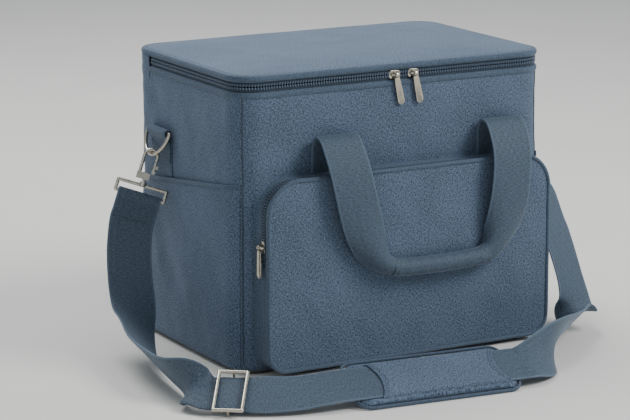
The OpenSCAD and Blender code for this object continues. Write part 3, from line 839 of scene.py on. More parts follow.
def build_lining():
    """Foil lining of the body and the lid, and the binding round the rim."""
    inset = LINER_HIGH.x
    points, marks = outline(LINER_HIGH.x, LINER_HIGH.y,
                            [CORNER_R - HALF_W + LINER_HIGH.x] * 4, 300)

    def place(column, row):
        z = LINER_LOW.z + 2 + (LINER_HIGH.z - LINER_LOW.z - 2) * row / 70
        x, y, _ox, _oy = spot = points[column]
        held = min(1.0, (LINER_HIGH.z - z) / 20)
        out = -0.8 - held * (0.8 + 0.9 * ripple_at(x, y, z, 40, 4.4)
                             + 0.5 * ripple_at(x, y, z, 14, 7.3))
        return round_bag(spot, out, z), (marks[column] * MM, z * MM)

    bm = grid_piece(300, 70, place)
    low = [e for e in bm.edges if e.is_boundary and e.verts[0].co.z < (LINER_LOW.z + 10) * MM]
    bmesh.ops.holes_fill(bm, edges=low, sides=0)
    lining = piece(bm, "foil_lining", FOIL, thickness=0.6)
    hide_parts("foil_liner")
    ride_bag(lining)

    section = oval(-(HALF_W - inset) / 2 - 1, WALL_H - 2.2, 4.6, 2.6)
    edge_band = piece(ring_piece(bag_outline(300), section, round_bag), "rim_binding_cloth",
                  TRIM)
    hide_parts("rim_binding")
    ride_bag(edge_band)

    under_low, under_high = cad_mm("lid_liner")

    def under(x, y):
        quilt = 0.5 * ripple_at(x, y, 0, 35, 9.9)
        return at(x, y, (under_low.z + under_high.z) / 2 - 0.3 + 0.3 * quilt)

    bm = rounded_sheet(90, 60, under_high.x, under_high.y, 23, 23, under)
    foil = piece(bm, "lid_foil_lining", FOIL, thickness=0.8, facing=(0, 0, -1))
    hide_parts("lid_liner")
    ride_lid(foil)


def panel_shift(x, z):
    """How far the pocket's panel swells and creases, in millimetres."""
    sewn = settings()
    u = (x - POCKET_X) / POCKET_HALF_W
    v = (z - POCKET_Z) / POCKET_HALF_H
    swell = sewn.panel_puff / MM * max(0.0, (1 - u * u) * (1 - v * v)) ** 0.6
    held = min(1.0, 4 * max(0.0, (1 - abs(u)))) * min(1.0, 4 * max(0.0, (1 - abs(v))))
    crease = ripple_at(x, 0, z * 0.5, 52, 2.7) + 0.5 * ripple_at(x, 0, z, 20, 7.7)
    drape = ripple_at(x + z * 0.7, 0, z * 0.25, 34, 4.1)
    return swell + sewn.crease_depth / MM * held * (0.9 * crease + 0.8 * drape)


def build_pocket():
    """The front pocket: gusset, zip, piping and the swelling panel."""

    def face(x, z):
        depth = POCKET_DEPTH - 1.2
        return at(x + POCKET_X, -HALF_D - depth - panel_shift(x + POCKET_X, z + POCKET_Z),
                  z + POCKET_Z)

    bm = rounded_sheet(120, 84, POCKET_HALF_W - 0.6, POCKET_HALF_H - 0.6,
                       POCKET_TOP_R, POCKET_LOW_R, face)
    panel = piece(bm, "pocket_panel", COVER, thickness=1.4, facing=(0, -1, 0))
    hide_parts("pocket_panel_lower", "pocket_panel_upper")
    bend_at_flap(panel)

    ring = pocket_outline(520)

    def waver(spot, _out, height):
        return 0.35 * ripple_at(spot[0], height, spot[1], 24, 1.3)

    cord = piece(ring_piece(ring, oval(0.6, POCKET_DEPTH - 1.7, 2.4, 2.6), round_pocket, waver),
                 "pocket_piping", TRIM)
    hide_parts("pocket_piping_lower", "pocket_piping_upper")
    bend_at_flap(cord)

    def slack(spot, out, depth):
        return 0.5 * ripple_at(spot[0], depth, spot[1], 18, 6.6)

    rear = smoothed([(5.5, -0.6), (2.2, 1.6), (0.6, 5), (0.0, 9), (0.0, POCKET_COIL - 1.6)], 3)
    rear = piece(ring_piece(ring, rear, round_pocket, slack), "pocket_gusset_rear",
                 TRIM, thickness=1.2)
    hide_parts("pocket_gusset")
    ride_bag(rear)
    front = smoothed([(0.0, POCKET_COIL + 1.6), (0.1, POCKET_COIL + 6),
                      (0.2, POCKET_DEPTH - 1.5)], 4)
    front = piece(ring_piece(ring, front, round_pocket, slack), "pocket_gusset_front",
                  TRIM, thickness=1.2)
    bend_at_flap(front)

    points, marks = ring
    low = points[:, 1] < FLAP_Z - 1
    closing = piece(ring_piece((points[low], marks[low]),
                               [(0.0, POCKET_COIL - 1.8), (0.3, POCKET_COIL),
                                (0.0, POCKET_COIL + 1.8)],
                               round_pocket), "pocket_gusset_low", TRIM, thickness=1.2)
    ride_bag(closing)

    high = points[:, 1] > FLAP_Z + 0.5
    half = len(points) // 2
    first = np.arange(len(points)) < half
    arch = np.concatenate((points[high & ~first], points[high & first][1:]))
    run = np.concatenate((marks[high & ~first] - marks[-1], marks[high & first][1:]))
    for name, start, end, rider, side in (
            ("rear", POCKET_COIL - 5, POCKET_COIL - 0.9, ride_bag, -1),
            ("front", POCKET_COIL + 0.9, POCKET_COIL + 5, bend_at_flap, 1)):
        tape = ring_piece((arch, run), [(0.5, start), (0.65, (start + end) / 2), (0.45, end)],
                          round_pocket)
        tape = piece(tape, "pocket_zip_tape_" + name, TAPE, thickness=0.6)
        line = [(x + ox * 0.5, -HALF_D - POCKET_COIL - side * 1.6, z + oz * 0.5, ox, 0, oz)
                for x, z, ox, oz in arch]
        row = piece(blocks(line, settings().tooth_pitch, (1.6, 2.8, 1.4),
                           slant=side * math.radians(24), bevel=0.3),
                    "pocket_zip_teeth_" + name, COIL)
        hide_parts("pocket_zip_coil_" + name)
        for obj in (tape, row):
            rider(obj)


def build_side_pockets():
    """An open slip pocket on each side, sewn in at the corner seams."""
    points, marks = bag_outline(400)
    for side, name in ((-1, "left"), (1, "right")):
        inside = (points[:, 0] * side > 0) & (np.abs(points[:, 1]) < HALF_D - 9.2)
        spots, run = points[inside], marks[inside]
        columns, rows = len(spots) - 1, 60

        def hem(y):
            return 196 - 0.12 * y

        def stand(y, share):
            middle = math.cos(math.pi / 2 * min(1.0, abs(y + 12) / 104))
            return 1.4 + 3.6 * middle * (0.25 + 0.75 * share ** 1.5)

        def place(column, row):
            spot = spots[column]
            share = row / rows
            z = 4 + (hem(spot[1]) - 4) * share
            out = stand(spot[1], share) + 0.9 * wall_shift(spot, z)
            if z < BASE_R:
                out -= BASE_R * (1 - math.sqrt(1 - (1 - z / BASE_R) ** 2))
            return round_bag(spot, out, z), (run[column] * MM, z * MM)

        obj = piece(grid_piece(columns, rows, place), "side_pocket_cloth_" + name, COVER,
                    thickness=1.2, facing=(side, 0, 0))
        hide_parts("side_pocket_" + name)
        ride_bag(obj)

        def hem_spot(column, z):
            spot = spots[column]
            out = stand(spot[1], 1.0) + 0.9 * wall_shift(spot, z)
            return spot, out

        fold = [(-1.9, -5), (-0.2, -5), (0.3, -4.7), (0.4, -3), (0.4, -1), (0.2, 0.5),
                (-0.6, 0.8), (-1.5, 0.5), (-1.9, -1), (-1.9, -5)]

        def fold_place(column, row):
            out, rise = fold[column]
            spot, base = hem_spot(row, hem(spots[row][1]))
            return round_bag(spot, base + out, hem(spot[1]) + rise), (
                run[row] * MM, rise * MM)

        obj = piece(cap_ends(grid_piece(len(fold) - 1, columns, fold_place)),
                    "side_pocket_hem_" + name, TRIM)
        ride_bag(obj)

        line = []
        for column in range(columns + 1):
            spot, base = hem_spot(column, hem(spots[column][1]))
            out = base + 0.5
            line.append((spot[0] + spot[2] * out, spot[1] + spot[3] * out,
                         hem(spot[1]) - 3.9, spot[2], spot[3], 0))
        obj = piece(blocks(line, settings().stitch_pitch, (2.2, 0.6, 0.4)),
                    "side_pocket_stitches_" + name, THREAD)
        ride_bag(obj)


# Where the strap rings hang: the bar, and each side's tilt, lean and turn in degrees.
RING_BAR = (HALF_W + 7, 51, 243)
HANGING = {"left": (-1, 22, 5, 29), "right": (1, 30, 36, 36)}
LOOP_LOW = -76
FOLD_L = 27


def hanging(side):
    """The frame of a hanging hook: origin on the ring's bar, -Z along the hook."""
    sign, tilt, lean, turn = HANGING[side]
    place = (Matrix.Translation(RING_BAR)
             @ Matrix.Rotation(math.radians(-tilt), 4, "Y")
             @ Matrix.Rotation(math.radians(-lean), 4, "X")
             @ Matrix.Rotation(math.radians(turn), 4, "Z"))
    return Matrix.Diagonal((sign, 1, 1, 1)) @ place


def box_stitch(corners, out):
    """A rectangle with its diagonals, as lines of (place, outward direction) rows."""
    a, b, c, d = corners
    tail = list(out)
    return [[list(p) + tail for p in pair]
            for pair in ((a, b), (b, c), (c, d), (d, a), (a, c), (b, d))]


def join_part(bm, part):
    """Add one bmesh to another and free the first."""
    mesh = bpy.data.meshes.new("part")
    part.to_mesh(mesh)
    part.free()
    bm.from_mesh(mesh)
    bpy.data.meshes.remove(mesh)


def thread_piece(lines, name, lift=0.3):
    """One object of stitches along several lines."""
    bm = bmesh.new()
    for line in lines:
        part = blocks(line, settings().stitch_pitch, (2.1, 0.6, 0.4), lift=lift)
        join_part(bm, part)
    return piece(bm, name, THREAD)


def build_ring_tabs():
    """Webbing looped round each ring's bar and sewn to the side."""
    y = RING_BAR[1]
    route = [(1.6, 194), (1.7, 217), (1.9, 231), (2.4, 238.5), (3.3, 243.2), (4.7, 245.8),
             (7, 246.9), (9.4, 245.8), (10.8, 243.4), (10.4, 240.6), (8.2, 238.2), (5.6, 234),
             (4.4, 228), (4.1, 217), (4.1, 209)]
    for side, sign in (("left", -1), ("right", 1)):
        stations = [(sign * (HALF_W + out), y, height, 0, sign, 0) for out, height in route]
        frames = path_frames(smoothed(stations, 4))
        bm = web_piece(frames, [web_section(46, 2.0, 0)] * len(frames))
        tab = piece(bm, "ring_tab_webbing_" + side, TRIM)
        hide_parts("ring_tab_" + side)
        ride_bag(tab)
        top, low, reach = 231, 212, 19
        face = sign * (HALF_W + 5.4)
        corners = [(face, y - reach, low), (face, y + reach, low),
                   (face, y + reach, top), (face, y - reach, top)]
        thread = thread_piece(box_stitch(corners, (sign, 0, 0)), "ring_tab_stitches_" + side)
        ride_bag(thread)


# The front handle: place, across, and how far the webbing is rolled up.
HANDLE = [
    (-84, -130.2, 218, 1, 0, 0, 0), (-84, -130.2, 232, 1, 0, 0, 0),
    (-84, -130.6, 246, 1, 0, 0, 0), (-84, -134.5, 255.6, 1, 0, 0, 0),
    (-84, -141, 258.6, 1, 0, 0, 0), (-84, -149, 256, 1, 0, 0, 0),
    (-83.5, -157, 246, 1, 0, 0.02, 0), (-81, -167, 224, 1, 0, 0.08, 0),
    (-76, -172.5, 196, 1, 0, 0.18, 0.03), (-68, -174.5, 166, 1, 0, 0.3, 0.1),
    (-56, -176, 140, 0.9, 0, 0.45, 0.3), (-43, -177, 121, 0.6, 0, 0.8, 0.62),
    (-25, -177, 112.5, 0.15, 0, 1, 0.92), (8, -177, 110, 0, 0, 1, 1),
    (56, -177, 110, 0, 0, 1, 1), (88, -177, 113, -0.15, 0, 1, 0.92),
    (104, -177, 122, -0.6, 0, 0.8, 0.62), (114, -176, 141, -0.9, 0, 0.4, 0.3),
    (120, -174.5, 167, -1, 0, 0.2, 0.1), (124, -172.5, 196, -1, 0, 0.12, 0.03),
    (127, -167, 224, -1, 0, 0.05, 0), (128, -157, 246, -1, 0, 0, 0),
    (128, -149, 256, -1, 0, 0, 0), (128, -141, 258.6, -1, 0, 0, 0),
    (128, -134.5, 255.6, -1, 0, 0, 0), (128, -130.6, 246, -1, 0, 0, 0),
    (128, -130.2, 232, -1, 0, 0, 0), (128, -130.2, 218, -1, 0, 0, 0)]
GRIP_SLEEVE = [(-30, 112.2, 8.7), (-20, 110.6, 9.3), (8, 109.6, 9.6), (32, 109.4, 9.7),
               (56, 109.6, 9.6), (84, 111, 9.3), (95, 112.8, 8.7)]


def build_handles():
    """Both carry handles: webbing sewn to the wall, folded over and rolled to a grip."""
    for name, flip in (("front", False), ("rear", True)):
        stations = mirrored(HANDLE, 1) if flip else HANDLE
        curve = smoothed(stations, 6)
        frames = path_frames(curve)
        sections = [web_section(WEB_W, WEB_T, min(0.96, max(0.0, row[6]))) for row in curve]
        handle = piece(web_piece(frames, sections), name + "_handle_strip", WEBBING)
        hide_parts(name + "_handle_anchors", name + "_handle_webbing")
        side = 1 if flip else -1
        start = (0, side * 0.133, CREST_Z * MM)
        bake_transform(handle)
        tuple(start)

        middle_y = GRIP_LOW.y + (GRIP_HIGH.y - GRIP_LOW.y) / 2
        axis_y = -middle_y if flip else middle_y
        curve = smoothed([(x, axis_y, z, 0, 0, 1, r) for x, z, r in GRIP_SLEEVE], 8)
        frames = path_frames(curve)
        sections = []
        for i, row in enumerate(curve):
            turns = [2 * math.pi * k / 28 for k in range(29)]
            swell = row[6] + 0.25 * math.sin(i * 1.3)
            sections.append([(swell * math.cos(t), swell * math.sin(t), swell * t - 0.03)
                             for t in turns])
        start = frames[0][4]

        def place(column, row, frames=frames, sections=sections, start=start):
            centre, _along, across, out, run = frames[row]
            x, y, width_at = sections[row][column]
            return ((centre + across * x + out * y) * MM,
                    (width_at * MM, (run - start) * MM))

        sleeve = piece(grid_piece(28, len(frames) - 1, place), name + "_handle_sleeve",
                       WEBBING, thickness=1.3)
        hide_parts(name + "_handle_grip")
        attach(sleeve, name + "_handle")

        lines = []
        for x in (-84, 128):
            face = side * (HALF_D + 3.2)
            corners = [(x - 20, face, 222), (x + 20, face, 222),
                       (x + 20, face, 240), (x - 20, face, 240)]
            lines += box_stitch(corners, (0, side, 0))
        thread = thread_piece(lines, name + "_handle_stitches", lift=0.6)
        ride_bag(thread)


# The shoulder strap as it lies: place, across and width. The run lies in front.
# Each leg goes on to the fold round its wire loop, and those ends are worked out below.
LEFT_LEG = [
    (-248, 38.5, 115, -0.86, 0.48, 0.12, 50),
    (-250, 33, 83, -0.87, 0.48, 0.05, 50),
    (-253, 18, 54, -0.84, 0.42, 0.3, 50),
    (-262, -10, 36, -0.76, 0.2, 0.6, 50),
    (-277, -58, 25, -0.68, 0.1, 0.72, 50),
    (-287, -110, 23, -0.62, 0.05, 0.77, 50),
    (-292, -160, 24, -0.5, 0.02, 0.86, 50),
    (-291.5, -194, 25.5, 0.15, 0.35, 0.92, 49)]
FRONT_RUN = [
    (-288.5, -207, 22.5, 0.46, 0.63, 0.63, 46),
    (-281, -217.6, 18.7, 0.504, 0.693, 0.515, 46),
    (-268, -227, 18.7, 0.504, 0.693, 0.515, 46),
    (-255, -236.4, 18.7, 0.504, 0.693, 0.515, 46),
    (-233, -249, 18, 0.27, 0.78, 0.55, 49),
    (-206, -259.5, 18.3, 0.14, 0.86, 0.48, 50),
    (-178, -265.9, 19.6, 0.085, 0.902, 0.423, 50),
    (-156, -268, 20.4, 0.085, 0.902, 0.423, 50),
    (-100, -273.3, 20.4, 0.085, 0.902, 0.423, 50),
    (0, -282.7, 20.4, 0.085, 0.902, 0.423, 50),
    (36, -286.1, 20.4, 0.085, 0.902, 0.423, 50),
    (56, -288, 20.4, 0.085, 0.902, 0.423, 50),
    (68, -289.1, 20.4, 0.085, 0.902, 0.423, 50)]
RIGHT_LEG = [
    (92, -281, 21, 0.05, 0.72, 0.69, 50),
    (118, -262, 25, 0.1, 0.3, 0.95, 50),
    (142, -239, 26.5, 0.22, -0.2, 0.95, 50),
    (168, -213, 25, 0.4, -0.42, 0.82, 50),
    (196, -187, 22, 0.58, -0.36, 0.73, 50),
    (218, -164, 20, 0.74, -0.05, 0.66, 50),
    (231, -148, 26, 0.86, 0.28, 0.4, 50),
    (236, -134, 46, 0.88, 0.42, 0.15, 50),
    (238, -114, 76, 0.88, 0.46, 0.08, 50),
    (242, -91, 102, 0.88, 0.47, 0.06, 50),
    (246, -69, 121, 0.88, 0.48, 0.06, 50),
    (250, -48, 138, 0.88, 0.48, 0.08, 50),
    (252, -30, 151, 0.87, 0.48, 0.1, 50)]
STRAP_STEPS = 8
# The stretch that lies flat under the pad.
FLAT_FROM, FLAT_TO = -185, 75


def leg_end(side, *heights):
    """Stations of a leg's end, on the rear layer of the fold round the wire loop."""
    frame_at = hanging(side)
    across = frame_at.to_3x3() @ Vector((1, 0, 0))
    return [tuple(frame_at @ Vector((0, 1.2, z))) + tuple(across) + (WEB_W,) for z in heights]


def build_strap():
    """The shoulder strap in three lengths that meet end to end."""
    fold_end = LOOP_LOW - FOLD_L
    left = leg_end("left", fold_end + 5, fold_end - 5) + LEFT_LEG
    right = RIGHT_LEG + leg_end("right", fold_end - 5, fold_end + 5)
    curve = smoothed(left + FRONT_RUN + right, STRAP_STEPS)
    frames = path_frames(curve)
    run_from = STRAP_STEPS * len(left)
    run_to = run_from + STRAP_STEPS * (len(FRONT_RUN) - 1)
    last = len(frames) - 1
    for name, first, end in (("strap_left_leg", 0, run_from),
                             ("strap_front_run", run_from, run_to),
                             ("strap_right_leg", run_to, last)):
        part = frames[first:end + 1]
        sections = []
        for k in range(first, end + 1):
            place = frames[k][0]
            cup = 0.035 * ripple_at(place.x, place.y, place.z, 70, 5.2)
            flat = FLAT_FROM < place.x < FLAT_TO and place.y < -2 * HALF_D + 20
            sections.append(web_section(curve[k][6], WEB_T, 0.0 if flat else cup))
        obj = piece(web_piece(part, sections), name + "_webbing", WEBBING)
        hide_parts(name)
        if name == "strap_left_leg":
            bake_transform(obj)
        elif name == "strap_right_leg":
            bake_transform(obj)
        else:
            ride_bag(obj)


def build_strap_ends():
    """Webbing folded round each wire loop and sewn to itself."""
    wrap = 3.4
    for side in HANGING:
        frame_at = hanging(side)
        turn = frame_at.to_3x3()
        sign = HANGING[side][0]
        route = [(-1.45, LOOP_LOW - FOLD_L), (-1.45, LOOP_LOW - 16), (-1.5, LOOP_LOW - 9),
                 (-2.4, LOOP_LOW - 4)]
        route += [(-wrap * math.cos(a), LOOP_LOW + wrap * math.sin(a))
                  for a in (math.radians(d) for d in range(-20, 201, 20))]
        route += [(2.4, LOOP_LOW - 4), (1.5, LOOP_LOW - 9), (1.2, LOOP_LOW - 16),
                  (1.2, LOOP_LOW - FOLD_L)]
        stations = []
        for y, z in route:
            place = frame_at @ Vector((0, y, z))
            across = turn @ Vector((1, 0, 0))
            stations.append(tuple(place) + tuple(across * -sign))
        frames = path_frames(smoothed(stations, 3))
        bm = web_piece(frames, [web_section(WEB_W, 2.2, 0)] * len(frames))
        fold = piece(bm, "strap_end_fold_" + side, WEBBING)
        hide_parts("strap_end_" + side)
        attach(fold, "strap_end_" + side)
        lines = []
        for face, look in ((-2.6, -1), (2.35, 1)):
            corners = [frame_at @ Vector((x, face, z))
                       for x, z in ((-21, LOOP_LOW - 24), (21, LOOP_LOW - 24),
                                    (21, LOOP_LOW - 9), (-21, LOOP_LOW - 9))]
            lines += box_stitch(corners, turn @ Vector((0, look, 0)))
        thread = thread_piece(lines, "strap_end_stitches_" + side, lift=0.1)
        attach(thread, "strap_end_" + side)


# Place, turn and lean of the slide adjuster and of the straight run under the pad.
ADJUST = ((-261.5, -231.7, 18.7), -36, 31)
STRAIGHT_RUN = ((0, -282.7, 20.4), -5.4, 25)


def lying(place, turn, lean):
    """A frame with X along the strap, -Y out of its face and Z across it."""
    return (Matrix.Translation(place) @ Matrix.Rotation(math.radians(turn), 4, "Z")
            @ Matrix.Rotation(math.radians(lean - 90), 4, "X"))


def build_adjuster_loop():
    """The strap's sewn loop round the middle bar of the slide adjuster."""
    frame_at = lying(*ADJUST)
    turn = frame_at.to_3x3()
    route = [(28, 2.2), (20, 2.2), (8, 2.0), (3, 1.6), (0, 1.6), (-1.9, 2.4), (-2.7, 4.0),
             (-1.9, 5.6), (0, 6.4), (4, 6.2), (12, 5.2), (20, 4.4), (28, 4.0)]
    across = turn @ Vector((0, 0, 1))
    stations = [tuple(frame_at @ Vector((x, y, 0))) + tuple(across) for x, y in route]
    frames = path_frames(smoothed(stations, 4))
    bm = web_piece(frames, [web_section(44, 1.5, 0)] * len(frames))
    loop = piece(bm, "adjuster_loop_webbing", WEBBING)
    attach(loop, "slide_adjuster")


# The shoulder pad in its own frame: X along the strap, -Y outwards, Z across.
PAD_X0, PAD_X1 = -141, 48
PAD_HALF_W = 35
SLEEVE_X0, SLEEVE_X1 = -108, 32


def build_pad():
    """The padded base, filled by a cloth simulation, and the sleeve sewn over it."""
    frame_at = lying(*STRAIGHT_RUN)
    middle = (PAD_X0 + PAD_X1) / 2
    half = (PAD_X1 - PAD_X0) / 2
    rim, _marks = outline(half, PAD_HALF_W, [14] * 4, 120)
    bm = bmesh.new()
    bm.loops.layers.uv.new("metres")
    verts = [bm.verts.new(Vector((x + middle, 2.2, z)) * MM) for x, z, _ox, _oz in rim[:-1]]
    face = bm.faces.new(verts)
    made = bmesh.ops.extrude_face_region(bm, geom=[face])
    for vert in (v for v in made["geom"] if isinstance(v, bmesh.types.BMVert)):
        vert.co.y += 2.8 * MM
    pad = piece(bm, "shoulder_pad_padded", COVER)
    remesh = pad.modifiers.new("even_faces", "REMESH")
    remesh.mode = "VOXEL"
    remesh.voxel_size = 0.0024
    keep_shape(pad)
    before = [v.co.copy() for v in pad.data.vertices]
    cloth = pad.modifiers.new("fill", "CLOTH")
    cloth.settings.use_pressure = True
    cloth.settings.uniform_pressure_force = settings().pad_pressure
    cloth.settings.effector_weights.gravity = 0.0
    cloth.settings.quality = 6
    cloth.point_cache.frame_start = 1
    cloth.point_cache.frame_end = 20
    scene = bpy.context.scene
    for number in range(1, 21):
        scene.frame_set(number)
    keep_shape(pad)
    scene.frame_set(1)
    limit = 2.6 * MM
    for vert, start in zip(pad.data.vertices, before):
        move = vert.co - start
        x, z = start.x / MM - middle, start.z / MM
        inward = min(1.0, (half - abs(x)) / 14, (PAD_HALF_W - abs(z)) / 9)
        plump = 1.9 * MM * math.sqrt(max(0.0, inward))
        quilt = 0.35 * MM * ripple_at(x, start.y / MM, z, 16, 3.3)
        # Filling swells the back; the front is held flat by the webbing.
        if start.y > 3.6 * MM:
            move.y += plump + quilt
        elif abs(z) > 28:
            move.y -= 0.5 * plump
        if move.length > limit:
            move *= limit / move.length
        move.y = max(move.y, -1.0 * MM if abs(z) < 27 else -limit)
        vert.co = start + move
    fine = pad.modifiers.new("soften", "SUBSURF")
    fine.levels = fine.render_levels = 1
    keep_shape(pad)
    mesh = pad.data
    if "metres" not in mesh.uv_layers:
        mesh.uv_layers.new(name="metres")
    uv = mesh.uv_layers["metres"].data
    for loop in mesh.loops:
        co = mesh.vertices[loop.vertex_index].co
        uv[loop.index].uv = (co.x, co.z + co.y)
    mesh.shade_smooth()
    if not mesh.materials:
        mesh.materials.append(COVER)
    mesh.transform(Matrix.Diagonal((MM, MM, MM, 1)) @ frame_at
                   @ Matrix.Diagonal((1000, 1000, 1000, 1)))
    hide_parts("shoulder_pad")
    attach(pad, "shoulder_pad")

    rim, _marks = outline(half, PAD_HALF_W, [14] * 4, 200)
    loop = [frame_at @ Vector((x + middle + ox * 0.9, 3.6, z + oz * 0.9))
            for x, z, ox, oz in rim]
    outs = [frame_at.to_3x3() @ Vector((ox, 0, oz)) for _x, _z, ox, oz in rim]
    turn_y = frame_at.to_3x3() @ Vector((0, 1, 0))

    def bind_place(column, row):
        a = 2 * math.pi * column / 12
        centre, out = loop[row], outs[row]
        return ((centre + out * 1.5 * math.cos(a) + turn_y * 2.1 * math.sin(a)) * MM,
                (a * 0.002, row * 0.0026))

    bind = piece(grid_piece(12, len(loop) - 1, bind_place), "shoulder_pad_binding",
                 TRIM)
    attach(bind, "shoulder_pad")

    rows, columns = 40, 90

    def sleeve_place(column, row):
        across = 2 * row / rows - 1
        cut = 9 * (1 - across * across)
        x0, x1 = SLEEVE_X0 + cut - 7, SLEEVE_X1 - cut + 7
        x = x0 + (x1 - x0) * column / columns
        z = 28.6 * across
        raised = min(1.0, max(0.0, (28.6 - abs(z)) / 4.5))
        share = column / columns
        body = math.sin(math.pi * share) ** 0.5
        y = (1.6 - 4.6 * math.sin(math.pi / 2 * raised) - 1.1 * body * (1 - across ** 2)
             - 0.35 * ripple_at(x, 0, z, 22, 2.9))
        return (frame_at @ Vector((x, y, z))) * MM, (x * MM, z * MM)

    look = frame_at.to_3x3() @ Vector((0, -1, 0))
    sleeve = piece(grid_piece(columns, rows, sleeve_place), "pad_sleeve_cloth", COVER,
                   thickness=1.1, facing=tuple(look))
    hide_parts("pad_sleeve")
    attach(sleeve, "shoulder_pad")

    lines = []
    for z in (-26.4, 26.4):
        lines.append([list(frame_at @ Vector((x, -1.6, z))) + list(look)
                      for x in (SLEEVE_X0 + 2, SLEEVE_X1 - 2)])
    for end, way in ((SLEEVE_X0, 1), (SLEEVE_X1, -1)):
        for gap in (3.0, 6.0):
            row = []
            for k in range(17):
                across = 2 * k / 16 - 1
                x = end + way * (9 * (1 - across * across) - 7 + gap)
                z = 26.0 * across
                seat = frame_at @ Vector((x, -3.6 - 0.2 * (1 - across ** 2), z))
                row.append(list(seat) + list(look))
            lines.append(row)
    thread = thread_piece(lines, "pad_stitches", lift=0.1)
    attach(thread, "shoulder_pad")


# ---- zip pulls and sliders ----

PULL_L = 34
PULL_W = 8.5
PULL_ASIDE = 12
BAR_OUT = 5


def pull_shape(aside, frame_at):
    """A cast pull: an eye round the bridge, a neck, and a tab with a raised rim."""
    bm = bmesh.new()
    bm.loops.layers.uv.new("metres")
    half = PULL_W / 2
    edge = [(-3.1, -3.2), (-3.4, -6), (-half * 0.86, -10), (-half * 0.92, -17)]
    edge += [(-half * math.cos(a), -PULL_L + half - half * math.sin(a))
             for a in (math.radians(d) for d in range(0, 181, 12))]
    edge += [(half * 0.92, -17), (half * 0.86, -10), (3.4, -6), (3.1, -3.2)]
    verts = [bm.verts.new((x * MM, -0.95 * MM, z * MM)) for x, z in edge]
    face = bm.faces.new(verts)
    made = bmesh.ops.extrude_face_region(bm, geom=[face])
    for vert in (v for v in made["geom"] if isinstance(v, bmesh.types.BMVert)):
        vert.co.y += 1.9 * MM
    bmesh.ops.recalc_face_normals(bm, faces=bm.faces)
    flats = [f for f in bm.faces if abs(f.normal.y) > 0.9]
    bmesh.ops.inset_region(bm, faces=flats, thickness=1.15 * MM, depth=0.0)
    for flat in flats:
        for vert in flat.verts:
            vert.co.y -= flat.normal.y * 0.4 * MM
    turned = Matrix.Rotation(math.radians(-aside), 4, "Y")
    bmesh.ops.transform(bm, matrix=turned, verts=bm.verts)
    ring = [(2.6, -1.6), (3.1, -1.9), (3.35, 0), (3.1, 1.9), (2.6, 1.9), (1.9, 1.9),
            (1.75, 0), (1.9, -1.9), (2.6, -1.9)]
    rows = 24

    def eye(column, row):
        a = 2 * math.pi * row / rows
        r, x = ring[column % (len(ring) - 1)]
        return at(x * 1.3, r * math.cos(a), r * math.sin(a)), (0, 0)

    part = grid_piece(len(ring) - 1, rows, eye)
    join_part(bm, part)
    bmesh.ops.transform(bm, matrix=frame_at, verts=bm.verts)
    return bm


def slider_shape(coil_t, bridge_turn, frame_at):
    """A zip slider: two shaped plates, the post between them, and an arched bridge."""
    bm = bmesh.new()
    bm.loops.layers.uv.new("metres")

    def plate(y0, y1):
        edge = [(-7, -2.9), (-5.2, -4.6), (2, -4.6), (6.2, -3.9), (7, -2.4),
                (7, 2.4), (6.2, 3.9), (2, 4.6), (-5.2, 4.6), (-7, 2.9)]
        verts = [bm.verts.new((x * MM, y0 * MM, z * MM)) for x, z in edge]
        made = bmesh.ops.extrude_face_region(bm, geom=[bm.faces.new(verts)])
        for vert in (v for v in made["geom"] if isinstance(v, bmesh.types.BMVert)):
            vert.co.y = y1 * MM

    plate(-1.5, -0.2)
    plate(coil_t + 0.2, coil_t + 1.3)
    post = Matrix.Translation((0, coil_t / 2 * MM, 0)) @ Matrix.Diagonal(
        (3 * MM, (coil_t + 1.4) * MM, 0.7 * MM, 1))
    bmesh.ops.create_cube(bm, size=1.0, matrix=post)
    arch = [(-5.0, 0.6), (-5.1, -2.2), (-4.4, -4.2), (-2.6, -5.5), (0, -5.9),
            (2.6, -5.5), (4.4, -4.2), (5.1, -2.2), (5.0, 0.6)]
    stations = [(x, y, 0, 0, 0, 1) for x, y in arch]
    frames = path_frames(smoothed(stations, 4))
    part = web_piece(frames, [web_section(2.8, 1.2, 0, 2)] * len(frames))
    bmesh.ops.transform(part, matrix=Matrix.Rotation(math.radians(bridge_turn), 4, "Y"),
                        verts=part.verts)
    join_part(bm, part)
    bmesh.ops.transform(bm, matrix=frame_at, verts=bm.verts)
    return bm


